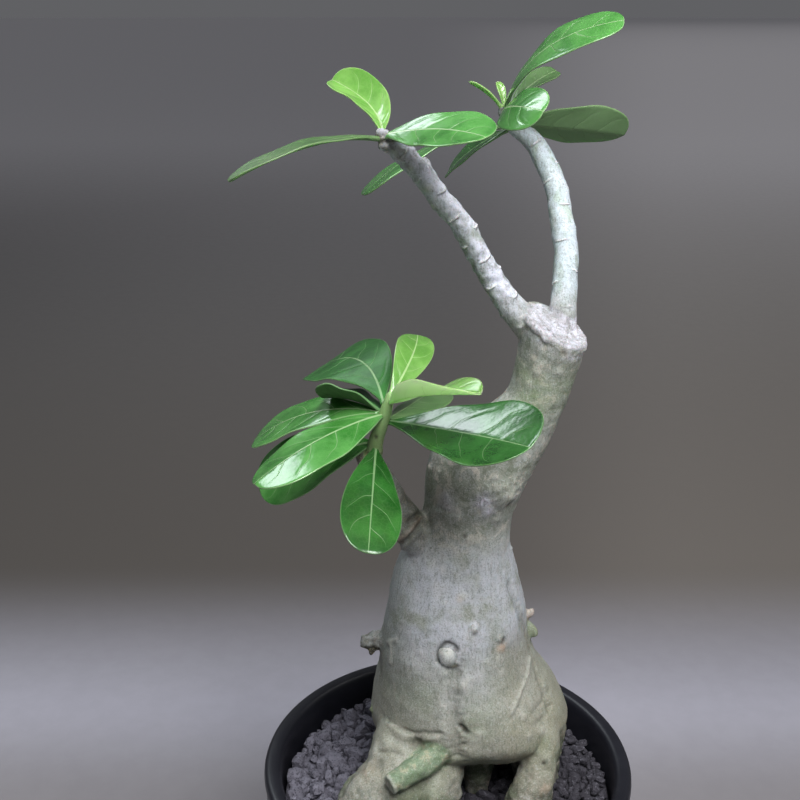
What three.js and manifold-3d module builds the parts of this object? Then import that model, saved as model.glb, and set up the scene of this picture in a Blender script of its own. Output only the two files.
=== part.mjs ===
// A desert rose: a fat-stemmed plant that stands on its own roots in a pot of grit.
// Millimetres, +Z up. The origin is the middle of the pot's flat underside.

import * as THREE from "three";
import ManifoldModule from "manifold-3d";

const kernel = await ManifoldModule();
kernel.setup();
const { Manifold, Mesh: SolidMesh } = kernel;

// Driving dimensions

const POT = {
  height: 130,
  lipOuter: 75,
  lipInner: 68.3,
  bandHeight: 22,
  bandThickness: 1.9,
  wall: 1.9,
  baseRadius: 54,
  floor: 2.4,
  sides: 44,
};
const DRAIN_HOLE = { count: 6, radius: 4.5, ringRadius: 38 };

const GRIT = {
  top: 119.6,
  stoneCount: 104,
  stoneSize: 4.7,
  sides: 32,
};

// Clearance left between pieces that touch on the real thing
const SEAT = 0.3;

// Leaf blade thickness at the midrib, at the edge, and the stalk's half width
const BLADE = { midrib: 1.1, edge: 0.7, stalk: 1.2, stalkThickness: 2 };

// Maths helpers

const rad = THREE.MathUtils.degToRad;

function point(x, y, z) {
  return new THREE.Vector3(x, y, z);
}

// A repeatable random sequence, so that the stones fall the same way every time
function randomSequence(seed) {
  let state = seed;
  return () => {
    state = (state * 1664525 + 1013904223) % 4294967296;
    return state / 4294967296;
  };
}

function solidFrom(vertices, triangles) {
  const positions = new Float32Array(vertices.length * 3);
  vertices.forEach((p, i) => p.toArray(positions, i * 3));
  const mesh = new SolidMesh({
    numProp: 3,
    vertProperties: positions,
    triVerts: new Uint32Array(triangles.flat()),
  });
  mesh.merge();
  return new Manifold(mesh);
}

// A closed solid through rings of equal point count, with both ends capped
function loft(rings) {
  const n = rings[0].length;
  const vertices = rings.flat();
  const triangles = [];
  for (let i = 0; i + 1 < rings.length; i++) {
    for (let j = 0; j < n; j++) {
      const a = i * n + j;
      const b = i * n + ((j + 1) % n);
      triangles.push([a, b, b + n], [a, b + n, a + n]);
    }
  }
  const middle = (ring) => ring.reduce((s, p) => s.add(p), point(0, 0, 0)).divideScalar(n);
  const first = vertices.push(middle(rings[0])) - 1;
  const last = vertices.push(middle(rings[rings.length - 1])) - 1;
  const end = (rings.length - 1) * n;
  for (let j = 0; j < n; j++) {
    const k = (j + 1) % n;
    triangles.push([k, j, first], [end + j, end + k, last]);
  }
  return solidFrom(vertices, triangles);
}

// A ring lathe: the closed profile of [radius, z] points turned about Z
function turned(profile, sides) {
  const vertices = [];
  const triangles = [];
  const n = profile.length;
  for (let i = 0; i < sides; i++) {
    const a = (i / sides) * 2 * Math.PI;
    profile.forEach(([r, z]) => vertices.push(point(r * Math.cos(a), r * Math.sin(a), z)));
  }
  for (let i = 0; i < sides; i++) {
    const next = ((i + 1) % sides) * n;
    for (let j = 0; j < n; j++) {
      const k = (j + 1) % n;
      triangles.push([i * n + j, next + j, next + k], [i * n + j, next + k, i * n + k]);
    }
  }
  return solidFrom(vertices, triangles);
}

// An upright disc or cone between two heights
function drum(radiusLow, radiusHigh, low, high, sides) {
  const ring = (r, z) =>
    Array.from({ length: sides }, (_, j) => {
      const a = (j / sides) * 2 * Math.PI;
      return point(r * Math.cos(a), r * Math.sin(a), z);
    });
  return loft([ring(radiusLow, low), ring(radiusHigh, high)]);
}

// Stations [x, y, z, radius] joined by a smooth curve, with extra stations between them
function smoothStations(stations, between) {
  const out = [];
  const at = (i) => stations[Math.min(Math.max(i, 0), stations.length - 1)];
  for (let i = 0; i + 1 < stations.length; i++) {
    for (let s = 0; s < between; s++) {
      const t = s / between;
      out.push(
        at(i).map((_, k) => {
          const [p, q, r, u] = [at(i - 1)[k], at(i)[k], at(i + 1)[k], at(i + 2)[k]];
          const a = 2 * q;
          const b = (r - p) * t;
          const c = (2 * p - 5 * q + 4 * r - u) * t * t;
          const d = (3 * q - p - 3 * r + u) * t * t * t;
          return (a + b + c + d) / 2;
        }),
      );
    }
  }
  out.push(stations[stations.length - 1]);
  return out;
}

// A root, trunk or branch: round rings carried along the stations without twisting.
// Its ends are domed. The relief function changes the radius at (station number, angle).
function limb(stations, { sides = 12, between = 1, swell = 0, relief = () => 0 } = {}) {
  const path = smoothStations(stations, between);
  const centres = path.map(([x, y, z]) => point(x, y, z));
  const count = path.length;
  const rings = [];
  let side = point(1, 0, 0);
  path.forEach((station, i) => {
    const back = centres[Math.max(i - 1, 0)];
    const ahead = centres[Math.min(i + 1, count - 1)];
    const along = ahead.clone().sub(back).normalize();
    side = side.clone().addScaledVector(along, -side.dot(along)).normalize();
    const across = along.clone().cross(side);
    const ring = (scale, slide) =>
      Array.from({ length: sides }, (_, j) => {
        const a = (j / sides) * 2 * Math.PI;
        const r = (station[3] + relief(i, a) + swell) * scale;
        return centres[i]
          .clone()
          .addScaledVector(along, slide * (station[3] + swell))
          .addScaledVector(side, r * Math.cos(a))
          .addScaledVector(across, r * Math.sin(a));
      });
    if (i === 0) {
      rings.push(ring(0.6, -0.5));
    }
    rings.push(ring(1, 0));
    if (i === count - 1) {
      rings.push(ring(0.6, 0.5));
    }
  });
  return loft(rings);
}

// Only the largest separate body of a solid
function largest(solid) {
  const bodies = solid.decompose();
  return bodies.reduce((a, b) => (b.volume() > a.volume() ? b : a));
}

// Swollen stem base. Each row is height, left edge, right edge, front, back.
const SWOLLEN_BASE = [
  [139.5, -8, 24, -14, 14],
  [142.5, -22, 37.5, -24, 24],
  [147, -29.5, 45.5, -30, 30],
  [153, -31, 48.2, -34, 32],
  [160, -30.3, 46.5, -34, 31],
  [169, -29, 41.5, -32, 29],
  [178, -27.5, 35, -29.5, 27],
  [190, -26.5, 31, -27, 25],
  [202, -24.3, 29.5, -25, 23],
  [213, -22, 27, -22, 21],
  [222, -19.5, 24.8, -19.5, 19],
  [230, -15, 22.6, -18, 17.5],
  [238, -11.8, 21.4, -16.6, 16.2],
  [246, -9.8, 23, -17, 16],
];
const FRONT_CREASE = { angle: -84, halfAngle: 20, depth: 2.6, from: 172 };
const RIGHT_CREASE = { angle: -38, halfAngle: 16, depth: 1.6, from: 196 };

function swollenBase(swell) {
  const sides = 26;
  const turnedBy = (a, b) => Math.acos(THREE.MathUtils.clamp(Math.cos(a - b), -1, 1));
  const groove = (crease, a, z) => {
    const across = Math.max(0, 1 - turnedBy(a, rad(crease.angle)) / rad(crease.halfAngle));
    const down = THREE.MathUtils.clamp((crease.from - z) / 30, 0, 1);
    return crease.depth * across * down;
  };
  return loft(
    SWOLLEN_BASE.map(([z, left, right, front, back]) =>
      Array.from({ length: sides }, (_, j) => {
        const a = (j / sides) * 2 * Math.PI;
        const cut = groove(FRONT_CREASE, a, z) + groove(RIGHT_CREASE, a, z);
        const grow = swell - cut;
        const rx = (right - left) / 2 + grow;
        const ry = (Math.sin(a) < 0 ? -front : back) + grow;
        return point((left + right) / 2 + rx * Math.cos(a), ry * Math.sin(a), z);
      }),
    ),
  );
}

// Roots that carry the swollen base over the grit. Stations are x, y, z, radius.
const ROOTS = {
  frontLeft: [
    [-8, -6, 157, 17],
    [-14.5, -17, 147, 16],
    [-19, -25, 138, 14.8],
    [-28.5, -31, 126, 16.5],
    [-34, -33, 113, 13.5],
    [-35, -33, 102, 8],
  ],
  frontMiddle: [
    [-4, -8, 158, 15],
    [-6, -19, 146, 12.5],
    [-7, -27, 133, 11.5],
    [-8, -31, 118, 11],
    [-9, -31, 102, 7],
  ],
  frontRight: [
    [30, -10, 158, 13],
    [34.5, -17.5, 149.5, 9],
    [34.5, -22.5, 142, 6.9],
    [32, -26.5, 134, 8],
    [29.4, -29.5, 124, 9],
    [27, -31, 104, 6],
  ],
  inner: [
    [15, -2, 150, 9],
    [13, -6, 138, 6.6],
    [12.2, -7, 127, 5.6],
    [11.6, -7, 117, 4.6],
    [11.4, -7, 106, 3],
  ],
  right: [
    [33, 2, 152, 15.5],
    [36, 3, 140, 12.6],
    [36.5, 3, 128, 10.5],
    [38, 4, 116, 9],
    [39, 5, 100, 6],
  ],
  back: [
    [12, 10, 150, 15],
    [12, 18, 138, 11],
    [10, 23, 126, 9],
    [8, 26, 112, 7.5],
    [7, 27, 98, 5],
  ],
  backLeft: [
    [-8, 8, 152, 14],
    [-14, 14, 141, 11],
    [-19, 19, 128, 9],
    [-24, 23, 113, 7.5],
    [-27, 25, 99, 5],
  ],
};

const TRUNK = [
  [5, 0, 228, 18],
  [6.5, 0, 240, 16.6],
  [8.2, 0, 249, 17.2],
  [11.2, 0, 258, 17.6],
  [18.2, 0, 268, 15.6],
  [25.4, 0, 277, 12.8],
  [30.4, 0, 286, 11],
  [33.4, 0, 297, 11.2],
  [35.2, -0.5, 307, 12.1],
  [36.6, -1, 318, 12.5],
];
const TRUNK_SHOULDER = [
  [0.5, 0, 244, 10.5],
  [0.5, 0, 254, 10.4],
  [2.4, 0, 263, 10.2],
];
// The sawn end of the trunk faces right, up and a little to the front
const SAWN_END = { at: [38.2, -3, 312.8], facing: [0.467, -0.22, 0.857] };

const LEFT_BRANCH = [
  [30.5, 1, 309, 6],
  [23.8, 0, 316.4, 5.3],
  [15.4, -1, 327.2, 4.4],
  [9.6, -2.5, 337, 4.1],
  [1.5, -5, 351.2, 4],
  [-5.3, -6.5, 359.1, 3.9],
  [-10, -8, 365.7, 3.8],
  [-15, -9, 371.8, 3.6],
  [-20.4, -10, 376.6, 3.3],
  [-24, -11, 379.4, 2.4],
  [-25.3, -11.6, 382.4, 1.5],
];
const RIGHT_BRANCH = [
  [38.5, 3, 306, 6],
  [39.7, 6, 317, 5],
  [40.7, 12, 328.1, 4.6],
  [41.4, 17, 335.9, 4.5],
  [40.6, 22, 344.2, 4.5],
  [39.6, 26, 351, 4.3],
  [38.6, 29, 357.7, 4.2],
  [35.9, 33, 364.1, 4.1],
  [32, 37, 371.7, 3.9],
  [28, 39, 375.8, 3.6],
  [23.5, 39.5, 378.6, 2.9],
  [20.3, 38.5, 381.5, 2.1],
  [19, 37.5, 385.5, 1.4],
];
const SIDE_BRANCH = [
  [-7, -2, 228, 9],
  [-13.3, -6, 234.3, 7.6],
  [-20.1, -10, 245.7, 5.7],
  [-24.8, -14, 256.7, 5],
  [-29, -18, 266, 4.6],
  [-31.5, -20, 271.5, 3.7],
];
const GREEN_SHOOT = [
  [-28.8, -20, 268, 3.2],
  [-28.4, -21, 272.5, 2.9],
  [-27.7, -22, 278.2, 2.7],
  [-25.3, -23, 286, 2.4],
  [-23.6, -23.8, 292, 2],
  [-22.8, -24, 296, 1.2],
];

// Short growths on the skin: cut root, pruned twigs and buds
const GROWTHS = [
  { stations: [[-1, -26, 154.5, 5], [-11.9, -36, 152.1, 4.7], [-23.2, -43.6, 149.3, 3.8]], sides: 12 },
  { stations: [[-2.4, -20, 196.2, 3.3], [-1.9, -23.6, 195.3, 3.3], [-1.6, -25.3, 194.9, 3]], sides: 10 },
  { stations: [[8, -22, 205, 1.6], [8.2, -23.9, 204.6, 1.3]], sides: 7 },
  { stations: [[17, -19, 198.5, 1.8], [17.8, -21.2, 198, 1.5]], sides: 7 },
  { stations: [[-24, 0, 184.8, 3.7], [-29, -0.3, 185, 3.3], [-33.2, -0.8, 184, 2.7]], sides: 8 },
  { stations: [[-30, -0.8, 182.5, 2.3], [-31, -1.5, 178.8, 1.1]], sides: 7 },
  { stations: [[28.5, 0.5, 195.5, 2], [31.6, 0.3, 196.2, 1.6], [32.6, 0.2, 197.6, 1.1]], sides: 7 },
  { stations: [[27.5, 0, 193.2, 2.2], [31.2, -0.6, 190.6, 2.3], [33.6, -1, 188, 1.9]], sides: 8 },
  { stations: [[-27, -4, 156, 2.2], [-30.8, -5, 155.2, 1.3]], sides: 7 },
  { stations: [[-12, -8.5, 369.5, 2.3], [-10.7, -8.6, 372.3, 1.8]], sides: 7 },
  { stations: [[-16.9, -9.3, 374.2, 3], [-16, -9.4, 376.3, 2.3]], sides: 8 },
];

// Low rings left on the branches by fallen leaves
function leafScars(every, height) {
  return (i, a) => (i % every === 1 ? height * Math.max(0, Math.cos(a + i * 2.4)) : 0);
}

function rootsAndBase(swell) {
  const roots = Object.values(ROOTS).map((stations) => limb(stations, { sides: 12, swell }));
  return Manifold.union([swollenBase(swell), ...roots]);
}

function plantBody() {
  const trunk = limb(TRUNK, { sides: 20, between: 2 });
  const sawn = trunk.trimByPlane(
    SAWN_END.facing.map((c) => -c),
    -SAWN_END.facing.reduce((sum, c, k) => sum + c * SAWN_END.at[k], 0),
  );
  const growths = GROWTHS.map(({ stations, sides }) => limb(stations, { sides }));
  return Manifold.union([
    rootsAndBase(0),
    sawn,
    limb(TRUNK_SHOULDER, { sides: 16 }),
    limb(LEFT_BRANCH, { sides: 10, between: 2, relief: leafScars(3, 0.5) }),
    limb(RIGHT_BRANCH, { sides: 10, between: 2, relief: leafScars(3, 0.5) }),
    limb(SIDE_BRANCH, { sides: 12, between: 2 }),
    limb(GREEN_SHOOT, { sides: 10 }),
    ...growths,
  ]);
}

// Leaves. Angles are degrees: heading is measured from +X towards +Y, rise from level.
// Lengths are along the blade. Bow and sweep are parts of the length.
const GREEN = { deep: 0x2f6b33, mid: 0x4c8f45, fresh: 0x8cc85a, pale: 0xa3cf86, dull: 0x6f9a62 };
const LEAVES = [
  {
    name: "leaf_low_rear_left", base: [-25, -22, 291.5], heading: 120, rise: -5,
    length: 57, width: 29, bow: 0.11, roll: 26, twist: -3, fold: 0, sweep: 0.16,
    colour: GREEN.deep,
  },
  {
    name: "leaf_low_upright", base: [-23.6, -23.4, 293.4], heading: 71, rise: 24,
    length: 35.5, width: 14, bow: 0.14, roll: -29, twist: 16, fold: 0, sweep: 0.03,
    colour: GREEN.fresh,
  },
  {
    name: "leaf_low_folded", base: [-23.2, -24, 292.6], heading: 311.5, rise: 18.5,
    length: 46.5, width: 17.5, bow: 0.01, roll: 23, twist: -34, fold: 27, sweep: 0.1,
    colour: GREEN.pale,
  },
  {
    name: "leaf_low_right", base: [-24, -22.4, 285], heading: 316, rise: 7,
    length: 63, width: 33, bow: -0.04, roll: -21, twist: -5, fold: 11, sweep: -0.06,
    colour: GREEN.deep,
  },
  {
    name: "leaf_low_hanging", base: [-28, -22, 275.6], heading: 268, rise: -22,
    length: 49, width: 21, bow: 0.04, roll: 19, twist: 0, fold: 4, sweep: 0.01,
    colour: GREEN.deep,
  },
  {
    name: "leaf_low_front_left", base: [-24.9, -23.8, 288], heading: 218.5, rise: -12.5,
    length: 54, width: 25, bow: 0.08, roll: 5, twist: -17, fold: -9, sweep: -0.02,
    colour: GREEN.mid,
  },
  {
    name: "leaf_low_left", base: [-26.5, -23, 288.5], heading: 157, rise: -20,
    length: 54, width: 22.5, bow: 0.09, roll: 17, twist: 0, fold: 1, sweep: 0.04,
    colour: GREEN.deep,
  },
  {
    name: "leaf_low_shaded", base: [-25.1, -22.5, 288], heading: 157.5, rise: 7.2,
    length: 24.5, width: 30, bow: 0.09, roll: -22.5, twist: 3.3, fold: 14, sweep: 0.02,
    colour: GREEN.deep,
  },
  {
    name: "leaf_low_under", base: [-28, -21.5, 277], heading: 163, rise: -27,
    length: 51, width: 26, bow: 0.02, roll: 44, twist: 3, fold: 0, sweep: 0.05,
    colour: GREEN.deep,
  },
  {
    name: "leaf_low_rear_right", base: [-24.6, -21.6, 284.6], heading: 65.5, rise: -2.5,
    length: 48, width: 19.5, bow: 0.01, roll: 7.5, twist: 0, fold: -16, sweep: 0.02,
    colour: GREEN.deep,
  },
  {
    name: "leaf_left_long", base: [-25.6, -11.6, 380.2], heading: 214.5, rise: -9.5,
    length: 56.5, width: 19.5, bow: 0.08, roll: -5, twist: -9, fold: 6.5, sweep: -0.07,
    colour: GREEN.mid,
  },
  {
    name: "leaf_left_upright", base: [-25.4, -12, 381.6], heading: 121, rise: 24,
    length: 38, width: 17.5, bow: -0.02, roll: 11, twist: 10, fold: 30, sweep: 0.13,
    colour: GREEN.fresh,
  },
  {
    name: "leaf_left_inner", base: [-24.6, -12, 381], heading: 311.5, rise: 4,
    length: 46.5, width: 21, bow: 0.03, roll: -31, twist: 15, fold: 4, sweep: -0.04,
    colour: GREEN.mid,
  },
  {
    name: "leaf_right_tall", base: [19.4, 37, 385.3], heading: 321.5, rise: 34,
    length: 56, width: 22, bow: 0.17, roll: -35, twist: -1, fold: 0, sweep: 0.04,
    colour: GREEN.mid,
  },
  {
    name: "leaf_right_pale", base: [20, 39.5, 384.6], heading: 32, rise: 30.5,
    length: 27, width: 10.5, bow: 0.08, roll: -11, twist: -15, fold: 14, sweep: 0.01,
    colour: GREEN.pale,
  },
  {
    name: "leaf_right_round", base: [19, 36, 383.2], heading: 283, rise: 7,
    length: 42, width: 18, bow: 0.12, roll: -52, twist: 0, fold: -6, sweep: 0.02,
    colour: GREEN.deep,
  },
  {
    name: "leaf_right_broad", base: [22.5, 41, 380], heading: 27, rise: -7,
    length: 53, width: 22.5, bow: 0.01, roll: 47, twist: -8, fold: 15, sweep: 0,
    colour: GREEN.dull,
  },
  {
    name: "leaf_right_rear", base: [21, 39.5, 378], heading: 132, rise: -31,
    length: 37, width: 14.5, bow: 0.05, roll: 38, twist: 2, fold: 7, sweep: -0.02,
    colour: GREEN.deep,
  },
  {
    name: "leaf_right_reaching", base: [19.8, 37, 379.5], heading: 199, rise: -22,
    length: 60, width: 23, bow: 0.08, roll: -8, twist: 1, fold: 0, sweep: 0,
    colour: GREEN.mid,
  },
  {
    name: "leaf_right_bud_long", base: [19, 37.5, 385], heading: 190, rise: 38,
    length: 17, width: 4, bow: 0.06, roll: 0, twist: 0, fold: 25, sweep: 0,
    colour: GREEN.fresh,
  },
  {
    name: "leaf_right_bud_short", base: [19, 37.6, 385.8], heading: 120, rise: 62,
    length: 10.5, width: 4, bow: 0.06, roll: 0, twist: 0, fold: 25, sweep: 0,
    colour: GREEN.fresh,
  },
];

// How far along the blade the cross rows lie, and how far across it the columns lie
const ROWS = [0, 0.07, 0.18, 0.34, 0.5, 0.66, 0.8, 0.91, 0.97, 0.995];
const COLUMNS = [-1, -0.5, 0, 0.5, 1];

// The half width along a spoon-shaped blade is t^P (1 - t)^Q, scaled to a peak of one
const SPOON = { P: 1, Q: 0.42 };

function spoon(t) {
  const { P, Q } = SPOON;
  const peak = (P / (P + Q)) ** P * (Q / (P + Q)) ** Q;
  return (t ** P * (1 - t) ** Q) / peak;
}

// A blade as two matching grids of points, split alike on both faces
function leafSolid(leaf, swell = 0) {
  const heading = rad(leaf.heading);
  const rise = rad(leaf.rise);
  const chord = point(
    Math.cos(rise) * Math.cos(heading),
    Math.cos(rise) * Math.sin(heading),
    Math.sin(rise),
  );
  const level = chord.clone().cross(point(0, 0, 1)).normalize();
  const above = level.clone().cross(chord);
  const side = level.clone().multiplyScalar(Math.cos(rad(leaf.roll)));
  side.addScaledVector(above, Math.sin(rad(leaf.roll)));
  const up = above.clone().multiplyScalar(Math.cos(rad(leaf.roll)));
  up.addScaledVector(level, -Math.sin(rad(leaf.roll)));
  const top = [];
  const bottom = [];
  for (const t of ROWS) {
    const hump = 4 * t * (1 - t) * leaf.length;
    const slope = 4 * (1 - 2 * t);
    const middle = point(...leaf.base).addScaledVector(chord, t * leaf.length);
    middle.addScaledVector(up, hump * leaf.bow).addScaledVector(side, hump * leaf.sweep);
    const along = chord.clone().addScaledVector(up, slope * leaf.bow);
    along.addScaledVector(side, slope * leaf.sweep).normalize();
    const right = side.clone().addScaledVector(along, -side.dot(along)).normalize();
    const normal = right.clone().cross(along);
    const turn = rad(leaf.twist) * (2 * t - 1);
    const out = right.clone().multiplyScalar(Math.cos(turn)).addScaledVector(normal, Math.sin(turn));
    const face = normal.clone().multiplyScalar(Math.cos(turn)).addScaledVector(right, -Math.sin(turn));
    const stalk = t < 0.3 ? Math.min(BLADE.stalk, leaf.width * 0.2) : 0;
    const halfWidth = Math.max((spoon(t) * leaf.width) / 2, stalk) + swell;
    const stalkShare = Math.max(0, 1 - t / 0.3);
    const topRow = [];
    const bottomRow = [];
    for (const s of COLUMNS) {
      const blade = BLADE.midrib + (BLADE.edge - BLADE.midrib) * Math.abs(s);
      const thick = blade + (BLADE.stalkThickness - blade) * stalkShare * (1 - Math.abs(s) * 0.6);
      const p = middle.clone().addScaledVector(out, s * halfWidth * Math.cos(rad(leaf.fold)));
      p.addScaledVector(face, Math.abs(s) * halfWidth * Math.sin(rad(leaf.fold)));
      topRow.push(p.clone().addScaledVector(face, thick / 2 + swell));
      bottomRow.push(p.clone().addScaledVector(face, -thick / 2 - swell));
    }
    top.push(topRow);
    bottom.push(bottomRow);
  }
  return bladeSolid(top, bottom);
}

function bladeSolid(top, bottom) {
  const rows = top.length;
  const columns = top[0].length;
  const vertices = [...top.flat(), ...bottom.flat()];
  const T = (i, j) => i * columns + j;
  const B = (i, j) => rows * columns + i * columns + j;
  const triangles = [];
  for (let i = 0; i + 1 < rows; i++) {
    for (let j = 0; j + 1 < columns; j++) {
      triangles.push([T(i, j), T(i, j + 1), T(i + 1, j + 1)], [T(i, j), T(i + 1, j + 1), T(i + 1, j)]);
      triangles.push([B(i, j), B(i + 1, j + 1), B(i, j + 1)], [B(i, j), B(i + 1, j), B(i + 1, j + 1)]);
    }
    const m = columns - 1;
    triangles.push([T(i, 0), T(i + 1, 0), B(i + 1, 0)], [T(i, 0), B(i + 1, 0), B(i, 0)]);
    triangles.push([T(i, m), B(i + 1, m), T(i + 1, m)], [T(i, m), B(i, m), B(i + 1, m)]);
  }
  const n = rows - 1;
  for (let j = 0; j + 1 < columns; j++) {
    triangles.push([T(0, j), B(0, j), B(0, j + 1)], [T(0, j), B(0, j + 1), T(0, j + 1)]);
    triangles.push([T(n, j), B(n, j + 1), B(n, j)], [T(n, j), T(n, j + 1), B(n, j + 1)]);
  }
  return solidFrom(vertices, triangles);
}

// Each leaf is seated on its twig, and gives way to the leaves of its tuft set before it
function seatedLeaves() {
  const twigs = Manifold.union([
    limb(LEFT_BRANCH, { sides: 10, between: 2, swell: SEAT, relief: leafScars(3, 0.5) }),
    limb(RIGHT_BRANCH, { sides: 10, between: 2, swell: SEAT, relief: leafScars(3, 0.5) }),
    limb(SIDE_BRANCH, { sides: 12, between: 2, swell: SEAT }),
    limb(GREEN_SHOOT, { sides: 10, swell: SEAT }),
  ]);
  const placed = [];
  return LEAVES.map((leaf) => {
    const neighbours = placed.map((other) => leafSolid(other, SEAT));
    placed.push(leaf);
    const solid = leafSolid(leaf).subtract(Manifold.union([twigs, ...neighbours]));
    return { ...leaf, solid: largest(solid) };
  });
}

// Pot: a thin tapered wall with a deep band folded down outside the lip

function potSolid() {
  const { height, lipOuter, lipInner, bandHeight, bandThickness, wall, baseRadius, floor } = POT;
  const bandFoot = height - bandHeight;
  const bandOuter = lipOuter - 0.7;
  const lipDrop = 2.2;
  const innerLow = baseRadius - wall;
  const profile = [
    [0.001, 0],
    [baseRadius - 1, 0],
    [baseRadius, 1],
    [lipInner + wall - 1.2, bandFoot + 2],
    [lipInner + wall - 0.8, height - 4.4],
    [bandOuter - bandThickness, height - 4.4],
    [bandOuter - bandThickness, bandFoot],
    [bandOuter, bandFoot],
    [bandOuter, height - 5],
    [lipOuter, height - 4],
    [lipOuter, height - lipDrop],
    [lipOuter - 1.8, height],
    [lipInner + 1.4, height],
    [lipInner, height - lipDrop],
    [lipInner - 1, bandFoot],
    [innerLow + 0.6, floor + 1],
    [innerLow - 0.6, floor],
    [0.001, floor],
  ];
  const body = turned(profile, POT.sides);
  const holes = Array.from({ length: DRAIN_HOLE.count }, (_, k) => {
    const a = ((k + 0.5) / DRAIN_HOLE.count) * 2 * Math.PI;
    const r = DRAIN_HOLE.ringRadius;
    const hole = drum(DRAIN_HOLE.radius, DRAIN_HOLE.radius, -1, floor + 1, 8);
    return hole.translate([r * Math.cos(a), r * Math.sin(a), 0]);
  });
  return body.subtract(Manifold.union(holes));
}

// Grit: a filling that follows the pot's inside, with rough stones bedded in its top
function gritSolid() {
  const random = randomSequence(11);
  const { lipInner, baseRadius, wall, floor, height, bandHeight } = POT;
  const low = baseRadius - wall - 1.2;
  const bandFoot = height - bandHeight;
  const inside = turned(
    [
      [0.001, floor + SEAT],
      [low, floor + SEAT],
      [low + 0.5, floor + 3],
      [lipInner - 1.4, bandFoot],
      [lipInner - 0.5, height - 3],
      [0.001, height - 3],
    ],
    GRIT.sides,
  );
  const bed = drum(80, 80, 0, GRIT.top, GRIT.sides);
  const golden = Math.PI * (3 - Math.sqrt(5));
  const stones = Array.from({ length: GRIT.stoneCount }, (_, k) => {
    const reach = (lipInner - 3.5) * Math.sqrt((k + 0.5) / GRIT.stoneCount);
    const a = k * golden + (random() - 0.5) * 0.12;
    const size = GRIT.stoneSize * (0.85 + 0.35 * random());
    const block = new THREE.BoxGeometry(2, 2, 2).toNonIndexed();
    const rough = solidFromGeometry(block, () => 0.7 + 0.35 * random());
    return rough
      .scale([size, size * (0.8 + 0.2 * random()), size * (0.65 + 0.2 * random())])
      .rotate([random() * 70, random() * 70, random() * 360])
      .translate([reach * Math.cos(a), reach * Math.sin(a), GRIT.top - 0.8 + random() * 1.4]);
  });
  const filled = Manifold.union([bed, ...stones]).intersect(inside);
  return largest(filled.subtract(rootsAndBase(SEAT)));
}

// Closed solid from a three.js shape whose corners are each pushed in or out
function solidFromGeometry(geometry, push) {
  const position = geometry.getAttribute("position");
  const corners = new Map();
  const vertices = [];
  const triangles = [];
  for (let i = 0; i < position.count; i += 3) {
    triangles.push(
      [0, 1, 2].map((k) => {
        const p = point(0, 0, 0).fromBufferAttribute(position, i + k);
        const key = p.toArray().map((c) => c.toFixed(3)).join();
        if (!corners.has(key)) {
          corners.set(key, vertices.push(p.multiplyScalar(push())) - 1);
        }
        return corners.get(key);
      }),
    );
  }
  return solidFrom(vertices, triangles);
}

// Scene graph

function addPiece(group, name, solid, { color, roughness, metalness = 0 }) {
  const { vertProperties, numProp, triVerts } = solid.getMesh();
  const positions = new Float32Array(triVerts.length * 3);
  triVerts.forEach((v, i) => {
    positions.set(vertProperties.subarray(v * numProp, v * numProp + 3), i * 3);
  });
  const geometry = new THREE.BufferGeometry();
  geometry.setAttribute("position", new THREE.BufferAttribute(positions, 3));
  geometry.computeVertexNormals();
  const material = new THREE.MeshStandardMaterial({ color, roughness, metalness });
  const mesh = new THREE.Mesh(geometry, material);
  mesh.name = name;
  group.add(mesh);
}

const group = new THREE.Group();
group.name = "potted_desert_rose";

addPiece(group, "pot", potSolid(), { color: 0x1d1f29, roughness: 0.5 });
addPiece(group, "grit", gritSolid(), { color: 0x47464e, roughness: 0.95 });
addPiece(group, "plant_body", plantBody(), { color: 0x9aa394, roughness: 0.65 });
for (const leaf of seatedLeaves()) {
  addPiece(group, leaf.name, leaf.solid, { color: leaf.colour, roughness: 0.35 });
}

export default group;
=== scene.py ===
# %% [markdown]
# # A potted desert rose
# A desert rose is a shrub that keeps water in a swollen stem, here raised on its own thick roots
# over a pot of lava grit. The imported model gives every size. This lesson dresses it: the same
# forms are made again with finer skin, real leaf blades and loose stones, each in the place
# where the solid one stands. Lengths are written in millimetres and stored in metres, +Z is up
# and the front of the plant faces -Y.

# %% Load the fixed frame
import math

import bpy
import numpy as np
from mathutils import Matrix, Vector, noise
from mathutils.bvhtree import BVHTree
import bmesh


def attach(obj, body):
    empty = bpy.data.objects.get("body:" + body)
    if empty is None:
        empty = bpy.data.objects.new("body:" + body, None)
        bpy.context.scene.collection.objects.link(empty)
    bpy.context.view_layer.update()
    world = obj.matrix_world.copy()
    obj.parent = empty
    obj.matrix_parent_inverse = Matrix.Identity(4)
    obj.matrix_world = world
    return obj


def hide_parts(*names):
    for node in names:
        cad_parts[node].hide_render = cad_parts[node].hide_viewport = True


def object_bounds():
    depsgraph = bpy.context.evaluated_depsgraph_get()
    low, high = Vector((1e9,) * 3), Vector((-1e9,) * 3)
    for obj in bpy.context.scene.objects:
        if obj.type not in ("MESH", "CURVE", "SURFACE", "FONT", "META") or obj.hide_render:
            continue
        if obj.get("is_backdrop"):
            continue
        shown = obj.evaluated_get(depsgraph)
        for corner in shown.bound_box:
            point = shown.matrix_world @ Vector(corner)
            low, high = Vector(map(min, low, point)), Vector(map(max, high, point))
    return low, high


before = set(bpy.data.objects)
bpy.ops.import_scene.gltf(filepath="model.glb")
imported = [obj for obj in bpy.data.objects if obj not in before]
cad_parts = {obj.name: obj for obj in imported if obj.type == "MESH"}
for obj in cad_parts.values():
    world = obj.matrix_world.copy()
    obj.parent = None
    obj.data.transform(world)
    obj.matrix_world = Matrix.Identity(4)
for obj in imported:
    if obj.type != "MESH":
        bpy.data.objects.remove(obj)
CAD_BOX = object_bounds()
MM = 0.001
print("solid pieces to dress:", len(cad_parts))

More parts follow.
